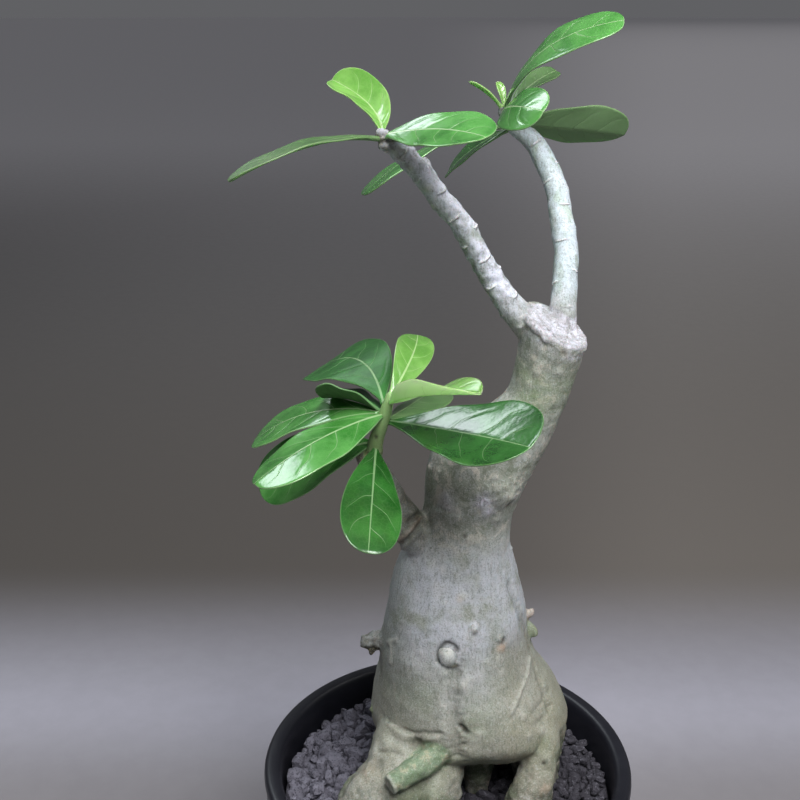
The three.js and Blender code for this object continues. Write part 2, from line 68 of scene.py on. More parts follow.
# %% [markdown]
# ## Camera
# The round pot lip is a ready-made gauge: the ellipse that it draws in a picture gives the
# camera's height, tilt and distance. A 50 mm lens on a 36 mm wide frame, looking 19.4 degrees
# down, fits it. Later cells use the same camera the other way round, to find where the line of
# sight through a pixel meets the skin.

# %% Camera
PHOTO_SIZE = 800
LENS, SENSOR = 50, 36
CAMERA_AT = Vector((-19.37, -384.14, 420.63)) * MM
LOOKING_DOWN = math.radians(19.408)

eye = bpy.data.cameras.new("eye")
eye.lens = LENS
eye.sensor_width = SENSOR
camera = bpy.data.objects.new("camera", eye)
camera.location = CAMERA_AT
camera.rotation_euler = (math.pi / 2 - LOOKING_DOWN, 0, 0)
bpy.context.scene.collection.objects.link(camera)
bpy.context.scene.camera = camera


def line_of_sight(px, py):
    """Unit vector from the camera through a pixel of the photo."""
    reach = PHOTO_SIZE * LENS / SENSOR
    seen = Vector((px - PHOTO_SIZE / 2, PHOTO_SIZE / 2 - py, -reach)).normalized()
    return camera.rotation_euler.to_matrix() @ seen


print("camera height in mm:", round(CAMERA_AT.z / MM))

# %% [markdown]
# ## Light
# The plant stands under a soft lamp, in front of it and well above, so that the lower leaves
# shade the stem behind them. A glossy leaf mirrors what is behind and above it, so a small lamp
# at the rear left draws cool white streaks on the leaves that face it. A side lamp lifts the right
# of the stem. An even grey world keeps the shaded side readable. The standard view keeps greens
# as saturated as they are mixed.

# %% Lamps and world
bpy.context.scene.view_settings.view_transform = "Standard"


def soft_lamp(name, at, aim, width, watts, colour=(1, 1, 1)):
    """A square area lamp at a place in metres, turned towards another."""
    lamp = bpy.data.lights.new(name, "AREA")
    lamp.size = width
    lamp.energy = watts
    lamp.color = colour
    holder = bpy.data.objects.new(name, lamp)
    holder.location = at
    holder.rotation_euler = (Vector(aim) - Vector(at)).to_track_quat("-Z", "Y").to_euler()
    bpy.context.scene.collection.objects.link(holder)


# Name, place and aim in metres, width in metres, watts, colour
soft_lamp("front_lamp", (0.13, -0.40, 0.86), (0, 0, 0.22), 0.4, 8.7)
soft_lamp("rear_lamp", (-0.60, 0.62, 1.14), (0, 0, 0.3), 0.36, 3.8, (0.88, 0.96, 1.0))
soft_lamp("side_lamp", (0.80, 0.12, 1.05), (0, 0, 0.25), 0.4, 0.8)

WORLD_GREY = (0.118, 0.119, 0.126, 1)
world = bpy.data.worlds.new("even_grey")
world.use_nodes = True
backdrop = world.node_tree.nodes["Background"]
backdrop.inputs["Color"].default_value = WORLD_GREY
backdrop.inputs["Strength"].default_value = 1.0
bpy.context.scene.world = world
print("world grey:", WORLD_GREY[:3])

# %% [markdown]
# ## Writing node trees as formulas
# A finish is a sum of masks: where it is worn, where it is green, how far a vein is. Dragging
# nodes for that is slow to read back. The small classes below let plain Python build the same
# trees: a Wire is the output of a node, and `1 - mask * 0.5` adds the Math nodes that say so.
# A Tree has one method that adds any other node from its type, its settings and the values or
# wires of its sockets. A Finish is the tree of a material. Geometry trees use the first two.

# %% Wire and Tree
class Wire:
    """The output of a node. Arithmetic on it adds Math nodes."""

    def __init__(self, tree, socket):
        self.tree = tree
        self.socket = socket

    def maths(self, operation, *values):
        return self.tree.add("ShaderNodeMath", {"operation": operation}, dict(enumerate(values)))

    def __add__(self, other):
        return self.maths("ADD", self, other)

    def __sub__(self, other):
        return self.maths("SUBTRACT", self, other)

    def __rsub__(self, other):
        return self.maths("SUBTRACT", other, self)

    def __mul__(self, other):
        return self.maths("MULTIPLY", self, other)

    def __truediv__(self, other):
        return self.maths("DIVIDE", self, other)

    def __rtruediv__(self, other):
        return self.maths("DIVIDE", other, self)

    def __pow__(self, other):
        return self.maths("POWER", self, other)

    def __abs__(self):
        return self.maths("ABSOLUTE", self)

    __radd__ = __add__
    __rmul__ = __mul__


class Tree:
    """A node tree that code fills in."""

    def __init__(self, node_tree):
        self.tree = node_tree

    def add(self, kind, settings=None, values=None, out=0):
        """Adds a node: its settings first, then the values or wires of its sockets."""
        node = self.tree.nodes.new(kind)
        for name, value in (settings or {}).items():
            setattr(node, name, value)
        for key, value in (values or {}).items():
            socket = node.inputs[key] if isinstance(key, int) else self.live(node.inputs, key)
            if isinstance(value, Wire):
                self.tree.links.new(value.socket, socket)
            else:
                socket.default_value = value
        made = node.outputs[out] if isinstance(out, int) else self.live(node.outputs, out)
        return Wire(self, made)

    def live(self, sockets, name):
        """The socket of that name that the node's settings leave in use."""
        return next(s for s in sockets if s.name == name and s.enabled)

    def mix(self, share, a, b):
        """Colour a turning into colour b as share goes from 0 to 1."""
        return self.add("ShaderNodeMix", {"data_type": "RGBA"}, {0: share, 6: a, 7: b}, out=2)

    def coats(self, colour, *layers):
        """A colour with others laid over it in turn, each by its own share from 0 to 1."""
        for share, over in layers:
            colour = self.mix(share, colour, over)
        return colour

    def step(self, value, low, high):
        """0 below low, 1 above high and a smooth rise between; it falls if low is above high."""
        limits = {"Value": value, "From Min": low, "From Max": high}
        return self.add("ShaderNodeMapRange", {"interpolation_type": "SMOOTHSTEP"}, limits)

    def attribute(self, name):
        """A value that a piece carries on its points."""
        return self.add("ShaderNodeAttribute", {"attribute_name": name}, out="Fac")

    def parts(self, vector):
        """The x, y and z of a vector, as three values."""
        split = self.add("ShaderNodeSeparateXYZ", None, {0: vector}).socket.node
        return [Wire(self, socket) for socket in split.outputs]


def rgb(*seen):
    """A colour as red, green and blue on a screen, 0 to 255, made ready for a shader."""
    return (*[((c / 255 + 0.055) / 1.055) ** 2.4 if c > 10 else c / 3294 for c in seen], 1)


BLACK = rgb(0, 0, 0)


class Finish(Tree):
    """A material with its patterns set in millimetres on Object coordinates."""

    def __init__(self, name):
        self.material = bpy.data.materials.new(name)
        self.material.use_nodes = True
        super().__init__(self.material.node_tree)
        self.shader = self.tree.nodes["Principled BSDF"]
        place = self.add("ShaderNodeTexCoord", out="Object")
        self.place = self.add("ShaderNodeVectorMath", {"operation": "SCALE"}, {0: place, 3: 1 / MM})

    def stretched(self, x, y, z):
        """The place with each axis multiplied, so that a pattern gets shorter along it."""
        values = {0: self.place, 1: (x, y, z)}
        return self.add("ShaderNodeVectorMath", {"operation": "MULTIPLY"}, values)

    def noise(self, size, detail=3.0, roughness=0.55, place=None, distortion=0.0):
        """Cloudy noise from 0 to 1 whose blots are about size mm wide."""
        values = {"Vector": place or self.place, "Scale": 1 / size, "Detail": detail}
        values |= {"Roughness": roughness, "Distortion": distortion}
        return self.add("ShaderNodeTexNoise", None, values)

    def cells(self, size, feature="F1"):
        """Cells about size mm wide: the distance to their middle, or to their edge."""
        values = {"Vector": self.place, "Scale": 1 / size}
        return self.add("ShaderNodeTexVoronoi", {"feature": feature}, values, "Distance")

    def relief(self, height, depth):
        """Bump from a height that runs over depth mm."""
        values = {"Strength": 1.0, "Distance": depth * MM, "Height": height}
        return self.add("ShaderNodeBump", None, values)

    def finish(self, varying, fixed=None):
        """Wires what varies over the surface to the shader, and sets what doesn't."""
        for name, wire in varying.items():
            self.tree.links.new(wire.socket, self.shader.inputs[name])
        for name, value in (fixed or {}).items():
            self.shader.inputs[name].default_value = value
        return self.material


print("shader helpers ready")

# %% [markdown]
# ## Meshes from points
# Most pieces below are rings of points joined into a skin. One helper stores the points in
# metres, so the object itself stays at the origin, unturned, with its place in its mesh. Another
# turns an object with live modifiers into a plain mesh.

# %% Mesh helpers
def piece_from(name, points, faces, material):
    """An object at the origin from points in mm."""
    mesh = bpy.data.meshes.new(name)
    mesh.from_pydata((np.asarray(points, float) * MM).tolist(), [], faces)
    mesh.materials.append(material)
    mesh.polygons.foreach_set("use_smooth", [True] * len(mesh.polygons))
    mesh.update()
    piece = bpy.data.objects.new(name, mesh)
    bpy.context.scene.collection.objects.link(piece)
    return piece


def carry(mesh, name, values):
    """Stores a value on every point of a mesh, for a finish to read."""
    field = mesh.attributes.new(name, "FLOAT", "POINT")
    field.data.foreach_set("value", np.asarray(values, np.float32))


def settle(piece):
    """Swaps a piece's mesh for the one that its modifiers make, and clears them."""
    graph = bpy.context.evaluated_depsgraph_get()
    mesh = bpy.data.meshes.new_from_object(piece.evaluated_get(graph))
    piece.modifiers.clear()
    piece.data = mesh


def angles_round(steps):
    """Angles spread evenly over a full turn."""
    return np.linspace(0, 2 * math.pi, steps, endpoint=False)


def circle(radius, height, steps, x=0, y=0):
    """Points round a level circle, in mm."""
    a = angles_round(steps)
    return np.stack([x + radius * np.cos(a), y + radius * np.sin(a), np.full(steps, height)], 1)


def stack_faces(rows, around, first=0):
    """Faces of a closed stack of rings with around points each: its side, then its flat ends."""
    faces = []
    for i in range(rows - 1):
        for j in range(around):
            a, b = first + i * around + j, first + i * around + (j + 1) % around
            faces.append((a, b, b + around, a + around))
    faces.append(tuple(reversed(range(first, first + around))))
    last = first + (rows - 1) * around
    faces.append(tuple(range(last, last + around)))
    return faces


def declare(piece, slot, *nodes):
    """Hides the solids that a piece stands for, and hangs it under the root body as what carries it."""
    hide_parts(*nodes)
    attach(piece, "root")


print("mesh helpers ready")

# %% [markdown]
# ## Floor
# The pot stands on a plain pale table top, with a darker cloth behind it. A wide disc with soft
# changes of colour and faint mottling is enough; it is staging and no part of the object.
# Most of the changes of colour are painted light and shade: a painted pool of lamp light just
# behind the pot, painted shade where that light falls off over the cloth, and painted shade on
# the left and on the near right. Lamps fade with distance, so painted light pales the cloth
# towards the horizon and it looks even. Its right side gets a faint painted glow of its own,
# because the lamps leave that side too dark.

# %% Floor
FLOOR_REACH, FLOOR_STEPS, FLOOR_DROP = 60000, 96, 0.3
# How far behind the pot's axis each change starts and is full, in mm
LIT_BAND, CLOTH_AND_SHADE, FAR_PAINTED_LIGHT = (125, 232), (190, 415), (300, 3600)
LEFT_SHADE, NEAR_SHADE = (4000, 900), (420, 240)
GLOW_STARTS, GLOW_PALES, GLOW_ENDS = (240, 430), (700, 3000), (45000, 8000)
FRONT_POINT = 500

paint = Finish("pale_table_top")
to_right, behind, _ = paint.parts(paint.place)
slant = to_right / (behind + FRONT_POINT)
# Painted light and shade: a lit band behind the pot, shade over the cloth, light far off, shade on the left
# and near right
shade = paint.coats(
    paint.mix(paint.step(behind, *LIT_BAND), rgb(156, 152, 156), rgb(194, 192, 205)),
    (paint.step(behind, *CLOTH_AND_SHADE), rgb(98, 92, 87)),
    (paint.step(behind, *FAR_PAINTED_LIGHT), rgb(253, 251, 254)),
    (paint.step(slant, 0.0, -0.4) * paint.step(behind, *LEFT_SHADE) * 0.14, BLACK),
    (paint.step(slant, -0.25, 0.3) * paint.step(behind, *NEAR_SHADE) * 0.2, BLACK),
    (paint.step(paint.noise(14, 4, 0.6), 0.3, 0.7) * 0.06, (0.1, 0.095, 0.1, 1)),
)
# Emission paints a faint glow of light on the right of the far floor
far_glow = paint.mix(paint.step(behind, *GLOW_PALES), (0.05, 0.046, 0.042, 1), (0.088, 0.085, 0.088, 1))
in_sight = paint.step(behind, *GLOW_STARTS) * paint.step(behind, *GLOW_ENDS)
far_glow = paint.mix(paint.step(slant, 0.0, 0.24) * in_sight, BLACK, far_glow)
table_top = paint.finish(
    {"Base Color": shade, "Emission Color": far_glow}, {"Roughness": 0.8, "Emission Strength": 1.0}
)
edge = circle(FLOOR_REACH, -FLOOR_DROP, FLOOR_STEPS)
floor = piece_from("floor", edge, [tuple(range(FLOOR_STEPS))], table_top)
floor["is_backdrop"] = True
print("floor radius in m:", FLOOR_REACH * MM)

# %% [markdown]
# ## Black pot plastic
# A nursery pot is moulded from recycled polypropylene: blue-black, with a soft sheen, faint
# cloudy flow marks, and a little pale dust that stays in its fine grain. Roughness varies more
# than colour, which is what the eye reads as plastic.

# %% Pot plastic
paint = Finish("black_pot_plastic")
flow = paint.noise(9, 3, 0.6, paint.stretched(1, 1, 0.25))
grain = paint.noise(0.45, 2)
dust = paint.step(paint.noise(3.2, 5, 0.75), 0.56, 0.78)
shade = paint.mix(flow, (0.0065, 0.0068, 0.0105, 1), (0.0125, 0.013, 0.019, 1))
shade = paint.mix(dust * 0.35, shade, (0.06, 0.06, 0.068, 1))
pot_plastic = paint.finish(
    {
        "Base Color": shade,
        "Roughness": 0.3 + flow * 0.16 + dust * 0.2,
        "Normal": paint.relief(grain * 0.6 + flow * 0.4, 0.12),
    },
    {"Specular IOR Level": 0.5},
)
print("pot plastic has", len(pot_plastic.node_tree.nodes), "nodes")

# %% [markdown]
# ## The pot
# A mould fills a thin wall, a lip folded out and down into a deep band, and a flat floor with
# drain holes. A turned profile makes it: points of radius and height, carried round the axis in
# fine steps. The corners are rounded by small extra points, because moulded plastic has no
# sharp edge and a round one catches the light. The holes are cut last by a Boolean.

# %% Pot profile
POT_STEPS = 180
POT_PROFILE = [
    (52.6, 0.0), (53.5, 0.2), (53.9, 0.8), (54.2, 1.6),
    (68.9, 109.4), (69.2, 112), (69.4, 125.0), (69.9, 125.6), (71.9, 125.6), (72.4, 125.2),
    (72.4, 108.6), (72.7, 108.1), (73.9, 108.0), (74.3, 108.4),
    (74.3, 124.4), (74.4, 125.0), (74.8, 125.7), (75.0, 126.5),
    (74.95, 128.0), (74.5, 129.1), (73.7, 129.8), (72.7, 130.0),
    (70.6, 130.0), (69.5, 129.7), (68.8, 128.9), (68.3, 127.9), (68.1, 124.0), (67.4, 108.0),
    (52.9, 3.6), (52.4, 2.8), (51.4, 2.4),
]


def turned(name, profile, steps, material):
    """A closed piece from a profile of (radius, height) carried round Z, with flat ends."""
    rings = [circle(radius, height, steps) for radius, height in profile]
    return piece_from(name, np.vstack(rings), stack_faces(len(profile), steps), material)


pot = turned("moulded_pot", POT_PROFILE, POT_STEPS, pot_plastic)
print("turned pot points:", len(pot.data.vertices))

# %% Drain holes
DRAIN_HOLES, HOLE_RADIUS, HOLE_RING, HOLE_STEPS = 6, 4.5, 38, 24
DRILL_FROM, DRILL_TO = -2, 5
SHARP_ANGLE = math.radians(50)

rings, faces = [], []
for k in range(DRAIN_HOLES):
    turn = 2 * math.pi * (k + 0.5) / DRAIN_HOLES
    x, y = HOLE_RING * math.cos(turn), HOLE_RING * math.sin(turn)
    rings += [circle(HOLE_RADIUS, height, HOLE_STEPS, x, y) for height in (DRILL_FROM, DRILL_TO)]
    faces += stack_faces(2, HOLE_STEPS, 2 * k * HOLE_STEPS)
drill = piece_from("drill", np.vstack(rings), faces, pot_plastic)
cut = pot.modifiers.new("drain", "BOOLEAN")
cut.object = drill
cut.solver = "EXACT"
settle(pot)
bpy.data.objects.remove(drill)
pot.data.polygons.foreach_set("use_smooth", [True] * len(pot.data.polygons))
pot.data.set_sharp_from_angle(angle=SHARP_ANGLE)
declare(pot, "pot", "pot")
print("pot faces:", len(pot.data.polygons))

# %% [markdown]
# ## The plant's form
# Stem, roots and branches are one grown body. Each limb is a row of stations (x, y, z, radius)
# with a smooth curve through them, and rings are carried along it without twisting. The swollen
# base is a stack of ovals instead, because it is wider to one side. The limbs are closed shells
# that overlap; a voxel remesh then melts them into one skin, and a light smoothing turns each
# joint into a grown one.

# %% Limbs
def smooth_rows(rows, between):
    """Rows of numbers with between - 1 new ones after each, on a curve through all of them."""
    rows = np.array(rows, float)
    padded = np.vstack([rows[:1], rows, rows[-1:]])
    t = (np.arange(between) / between)[:, None]
    out = []
    for p, q, r, u in zip(padded, padded[1:], padded[2:], padded[3:]):
        bend = (2 * p - 5 * q + 4 * r - u) * t**2 + (3 * q - p - 3 * r + u) * t**3
        out.append(q + ((r - p) * t + bend) / 2)
    return np.vstack(out + [rows[-1:]])


# Each ring of a rounded or a sawn end: its size and how far it slides out, as shares of the radius
DOME, SAWN_END = [(0.93, 0.25), (0.75, 0.5), (0.45, 0.75)], [(0.9, 0.06), (0.5, 0.02)]


def limb(stations, sides=40, between=8, sawn=False):
    """Points and faces of a closed root, stem or branch; its last end is a dome or sawn flat."""
    path = smooth_rows(stations, between)
    around = angles_round(sides)
    side = np.array([1.0, 0, 0])
    rings = []
    for i, (*centre, radius) in enumerate(path):
        along = path[min(i + 1, len(path) - 1), :3] - path[max(i - 1, 0), :3]
        along /= np.linalg.norm(along)
        side -= along * side.dot(along)
        side /= np.linalg.norm(side)
        across = np.cross(along, side)
        ring = np.outer(np.cos(around), side) + np.outer(np.sin(around), across)
        start = [(scale, -slide) for scale, slide in reversed(DOME)] if i == 0 else []
        end = (SAWN_END if sawn else DOME) if i == len(path) - 1 else []
        for scale, slide in [*start, (1, 0), *end]:
            rings.append(np.array(centre) + ring * radius * scale + along * slide * radius)
    return np.vstack(rings), stack_faces(len(rings), sides)


print("limb helper ready")

# %% Stations of the roots
# Each station: x, y, z and radius
ROOTS = {
    "front_left": [
        (-8, -6, 157, 17), (-14.5, -17, 147, 16), (-19, -25, 138, 14.8), (-28.5, -31, 126, 16.5),
        (-34, -33, 113, 13.5), (-35, -33, 102, 8),
    ],
    "front_middle": [
        (-4, -8, 158, 15), (-6, -19, 146, 12.5), (-7, -27, 133, 11.5), (-8, -31, 118, 11),
        (-9, -31, 102, 7),
    ],
    "front_right": [
        (30, -10, 158, 13), (34.5, -17.5, 149.5, 9), (34.5, -22.5, 142, 6.9), (32, -26.5, 134, 8),
        (29.4, -29.5, 124, 9), (27, -31, 104, 6),
    ],
    "inner": [
        (15, -2, 150, 9), (13, -6, 138, 6.6), (12.2, -7, 127, 5.6), (11.6, -7, 117, 4.6),
        (11.4, -7, 106, 3),
    ],
    "right": [
        (33, 2, 152, 15.5), (36, 3, 140, 12.6), (36.5, 3, 128, 10.5), (38, 4, 116, 9), (39, 5, 100, 6),
    ],
    "back": [
        (12, 10, 150, 15), (12, 18, 138, 11), (10, 23, 126, 9), (8, 26, 112, 7.5), (7, 27, 98, 5),
    ],
    "back_left": [
        (-8, 8, 152, 14), (-14, 14, 141, 11), (-19, 19, 128, 9), (-24, 23, 113, 7.5), (-27, 25, 99, 5),
    ],
}
print("roots:", ", ".join(ROOTS))

# %% Stations of the trunk and branches
TRUNK = [
    (5, 0, 228, 18), (6.5, 0, 240, 16.6), (8.2, 0, 249, 17.2), (11.2, 0, 258, 17.6),
    (18.2, 0, 268, 15.6), (25.4, 0, 277, 12.8), (30.4, 0, 286, 11), (33.4, 0, 297, 11.2),
    (35.2, -0.5, 307, 12.1), (36.6, -1, 318, 12.5),
]
TRUNK_SHOULDER = [(0.5, 0, 244, 10.5), (0.5, 0, 254, 10.4), (2.4, 0, 263, 10.2)]
SAWN_AT, SAWN_FACING = np.array([38.2, -3, 312.8]), np.array([0.467, -0.22, 0.857])
LEFT_BRANCH = [
    (30.5, 1, 309, 6), (23.8, 0, 316.4, 5.3), (15.4, -1, 327.2, 4.4), (9.6, -2.5, 337, 4.1),
    (1.5, -5, 351.2, 4), (-5.3, -6.5, 359.1, 3.9), (-10, -8, 365.7, 3.8), (-15, -9, 371.8, 3.6),
    (-20.4, -10, 376.6, 3.3), (-24, -11, 379.4, 2.4), (-25.3, -11.6, 382.4, 1.5),
]
RIGHT_BRANCH = [
    (38.5, 3, 306, 6), (39.7, 6, 317, 5), (40.7, 12, 328.1, 4.6), (41.4, 17, 335.9, 4.5),
    (40.6, 22, 344.2, 4.5), (39.6, 26, 351, 4.3), (38.6, 29, 357.7, 4.2), (35.9, 33, 364.1, 4.1),
    (32, 37, 371.7, 3.9), (28, 39, 375.8, 3.6), (23.5, 39.5, 378.6, 2.9), (20.3, 38.5, 381.5, 2.1),
    (19, 37.5, 385.5, 1.4),
]
SIDE_BRANCH = [
    (-7, -2, 228, 9), (-13.3, -6, 234.3, 7.6), (-20.1, -10, 245.7, 5.7), (-24.8, -14, 256.7, 5),
    (-29, -18, 266, 4.6), (-31.5, -20, 271.5, 3.7),
]
GREEN_SHOOT = [
    (-28.8, -20, 268, 3.2), (-28.4, -21, 272.5, 2.9), (-27.7, -22, 278.2, 2.7), (-25.3, -23, 286, 2.4),
    (-23.6, -23.8, 292, 2), (-22.8, -24, 296, 1.2),
]
CUT_ROOT = [(-1, -26, 154.5, 5), (-11.9, -36, 152.1, 4.7), (-23.2, -43.6, 149.3, 3.8)]
# Buds, stubs and nubs, as stations too
GROWTHS = {
    "button": [(-2.4, -20, 196.2, 3.3), (-1.9, -23.6, 195.3, 3.3), (-1.6, -25.3, 194.9, 3)],
    "upper_bud": [(8, -22, 205, 1.6), (8.2, -23.9, 204.6, 1.3)],
    "right_bud": [(17, -19, 198.5, 1.8), (17.8, -21.2, 198, 1.5)],
    "woody_stub": [(-24, 0, 184.8, 3.7), (-29, -0.3, 185, 3.3), (-33.2, -0.8, 184, 2.7)],
    "stub_spur": [(-30, -0.8, 182.5, 2.3), (-31, -1.5, 178.8, 1.1)],
    "pink_nub": [(28.5, 0.5, 195.5, 2), (31.6, 0.3, 196.2, 1.6), (32.6, 0.2, 197.6, 1.1)],
    "green_nub": [(27.5, 0, 193.2, 2.2), (31.2, -0.6, 190.6, 2.3), (33.6, -1, 188, 1.9)],
    "low_nub": [(-27, -4, 156, 2.2), (-30.8, -5, 155.2, 1.3)],
    "branch_knob": [(-12, -8.5, 369.5, 2.3), (-10.7, -8.6, 372.3, 1.8)],
    "branch_shoulder": [(-16.9, -9.3, 374.2, 3), (-16, -9.4, 376.3, 2.3)],
}
print("small growths:", ", ".join(GROWTHS))

# %% Swollen base
# Each row: height, left edge, right edge, front, back
SWOLLEN_BASE = [
    (139.5, -8, 24, -14, 14), (142.5, -22, 37.5, -24, 24), (147, -29.5, 45.5, -30, 30),
    (153, -31, 48.2, -34, 32), (160, -30.3, 46.5, -34, 31), (169, -29, 41.5, -32, 29),
    (178, -27.5, 35, -29.5, 27), (190, -26.5, 31, -27, 25), (202, -24.3, 29.5, -25, 23),
    (213, -22, 27, -22, 21), (222, -19.5, 24.8, -19.5, 19), (230, -15, 22.6, -18, 17.5),
    (238, -11.8, 21.4, -16.6, 16.2), (246, -9.8, 23, -17, 16),
]
# Each crease: angle, half its width in degrees, depth, and the height under which it shows
BASE_CREASES = [(-84, 20, 2.6, 172), (-38, 16, 1.6, 196)]
CREASE_FADE = 30


def swollen_base(sides=140, between=6):
    """Points and faces of the stack of ovals."""
    a = angles_round(sides)
    rings = []
    for z, left, right, front, back in smooth_rows(SWOLLEN_BASE, between):
        cut = 0 * a
        for angle, half, depth, top in BASE_CREASES:
            away = np.degrees(np.arccos(np.cos(a - math.radians(angle))))
            cut += depth * np.clip(1 - away / half, 0, 1) * min(max((top - z) / CREASE_FADE, 0), 1)
        x = (left + right) / 2 + ((right - left) / 2 - cut) * np.cos(a)
        y = (np.where(np.sin(a) < 0, -front, back) - cut) * np.sin(a)
        rings.append(np.stack([x, y, np.full(sides, z)], 1))
    return np.vstack(rings), stack_faces(len(rings), sides)


print("base widest in mm:", max(right - left for _, left, right, _, _ in SWOLLEN_BASE))

# %% Melt the limbs into one skin
VOXEL, SOFTENINGS = 0.6, 7

trunk_points, trunk_faces = limb(TRUNK, 64)
past = np.clip((trunk_points - SAWN_AT) @ SAWN_FACING, 0, None)
trunk_points -= np.outer(past, SAWN_FACING)
shells = [swollen_base(), (trunk_points, trunk_faces), limb(TRUNK_SHOULDER)]
shells += [limb(root) for root in ROOTS.values()]
shells += [limb(row) for row in (LEFT_BRANCH, RIGHT_BRANCH, SIDE_BRANCH, GREEN_SHOOT)]
shells += [limb(CUT_ROOT, sawn=True)]
shells += [limb(row) for name, row in GROWTHS.items() if name != "button"]

all_points, all_faces = [], []
for points, faces in shells:
    start = sum(len(p) for p in all_points)
    all_points.append(points)
    all_faces += [tuple(start + k for k in face) for face in faces]
plant = piece_from("plant_skin", np.vstack(all_points), all_faces, pot_plastic)
melt = plant.modifiers.new("melt", "REMESH")
melt.mode = "VOXEL"
melt.voxel_size = VOXEL * MM
soften = plant.modifiers.new("soften", "SMOOTH")
soften.factor = 0.5
soften.iterations = SOFTENINGS
settle(plant)
print("plant skin points:", len(plant.data.vertices), "faces:", len(plant.data.polygons))

# %% [markdown]
# ## Sculpting by numbers
# Scars, knobs and folds are too small for the limbs, so they are pushed into the finished skin.
# Every point moves along its normal by the sum of small pushes, and the same distances are kept
# as masks, which the bark finish reads later: a scar is then both raised and pale. A mark that
# the photo shows is placed by its pixel, on the skin that the line of sight meets.

# %% Skin as arrays
mesh = plant.data
skin = np.zeros(len(mesh.vertices) * 3)
mesh.vertices.foreach_get("co", skin)
skin = skin.reshape(-1, 3) / MM
normals = np.zeros(len(mesh.vertices) * 3)
mesh.vertices.foreach_get("normal", normals)
normals = normals.reshape(-1, 3)
push = np.zeros(len(skin))
# What the bark finish reads at every point of the skin, each from 0 to 1
# The dark mask holds painted shade in hollows, creases and slits
MASKS = ("pale", "green", "brown", "dark", "pink", "cork", "branch", "fair", "shoot", "cut_root")
masks = {name: np.zeros(len(skin)) for name in MASKS}
FAR = 1e3
LINE_REACH, LIMB_REACH = 10, 12
hit_tree = BVHTree.FromPolygons(skin.tolist(), [tuple(p.vertices) for p in mesh.polygons])


def on_skin(px, py):
    """Where the line of sight through a pixel meets the skin, in mm."""
    hit = hit_tree.ray_cast(camera.location / MM, line_of_sight(px, py))[0]
    return None if hit is None else np.array(hit)


def away_from(px, py):
    """Distance in mm of every skin point to the spot under a pixel; far if no skin is there."""
    spot = on_skin(px, py)
    if spot is None:
        print("no skin under pixel", px, py)
        return np.full(len(skin), FAR)
    return np.linalg.norm(skin - spot, axis=1)


def colour_in(mask, amount):
    """Raises a mask to an amount wherever it is lower."""
    masks[mask] = np.maximum(masks[mask], amount)


def step(value, low, high):
    """0 below low, 1 above high and a smooth rise between; it falls if low is above high."""
    t = np.clip((value - low) / (high - low), 0, 1)
    return t * t * (3 - 2 * t)


def bell(distance, width):
    """1 at no distance, falling to nearly nothing at twice the width."""
    return np.exp(-((distance / width) ** 2))


def cloud(size, seed=0):
    """Cloudy noise from -1 to 1 at every skin point, with blots about size mm wide."""
    shift = Vector((seed * 13.7, seed * 7.1, seed * 3.3))
    return np.array([noise.noise(Vector(p) / size + shift) for p in skin.tolist()])


def near_box(spots, reach):
    """Which skin points lie within reach mm of the box round some spots."""
    low, high = spots.min(0)[:3] - reach, spots.max(0)[:3] + reach
    return np.flatnonzero(np.all((skin > low) & (skin < high), axis=1))


def distance_to_line(pixels, steps=8):
    """Distance of every skin point to a line drawn through pixels; far where it is out of reach."""
    px = np.array(pixels, float)
    shares = [k / steps for k in range(steps + 1)]
    spots = [on_skin(*(a + (b - a) * share)) for a, b in zip(px, px[1:]) for share in shares]
    spots = np.array([s for s in spots if s is not None])
    away = np.full(len(skin), FAR)
    near = near_box(spots, LINE_REACH)
    away[near] = np.min(np.linalg.norm(skin[near][:, None] - spots[None], axis=2), axis=1)
    return away


def along_limb(stations):
    """For every skin point: its distance along a limb, the angle round it, and its distance
    from the axis over the limb's radius, which is large for points elsewhere."""
    path = smooth_rows(stations, 16)
    steps = np.linalg.norm(np.diff(path[:, :3], axis=0), axis=1)
    travelled = np.concatenate([[0], np.cumsum(steps)])
    near = near_box(path, LIMB_REACH)
    to_path = np.linalg.norm(skin[near][:, None] - path[None, ::2, :3], axis=2)
    nearest = np.argmin(to_path, axis=1) * 2
    ahead = path[np.minimum(nearest + 1, len(path) - 1), :3] - path[np.maximum(nearest - 1, 0), :3]
    ahead /= np.linalg.norm(ahead, axis=1)[:, None]
    offset = skin[near] - path[nearest, :3]
    travel, angle, reach = np.zeros(len(skin)), np.zeros(len(skin)), np.full(len(skin), FAR)
    travel[near] = travelled[nearest] + np.sum(offset * ahead, axis=1)
    angle[near] = np.arctan2(offset[:, 1], offset[:, 0])
    reach[near] = np.linalg.norm(offset, axis=1) / path[nearest, 3]
    return travel, angle, reach


print("skin area in cm2:", round(sum(p.area for p in mesh.polygons) * 1e4))

# %% [markdown]
# ## Bark that isn't even
# Living skin is never a clean surface: it is slightly lumpy, and it wrinkles where the stem
# has swollen. Cloudy noise at several sizes does it, with higher lumps low down, where the
# bark is oldest. The thin shoot stays smooth, because it is this year's growth.

# %% Lumps and wrinkles
shoot_travel, _, shoot_reach = along_limb(GREEN_SHOOT)
colour_in("shoot", step(shoot_reach, 1.7, 1.3) * step(skin[:, 2], 268, 271))
woody = 1 - masks["shoot"]
thick = step(skin[:, 2], 320, 290)
ragged = cloud(1.7, 9)
push += woody * (0.5 * cloud(17) * thick + 0.25 * cloud(6, 1) + 0.13 * cloud(2.8, 2) + 0.05 * ragged)
low_bark = step(skin[:, 2], 158, 140)
push += low_bark * (0.8 * cloud(6.5, 12) + 0.5 * cloud(3.2, 14) + 0.16 * ragged)
print("lumps in mm from", round(push.min(), 2), "to", round(push.max(), 2))

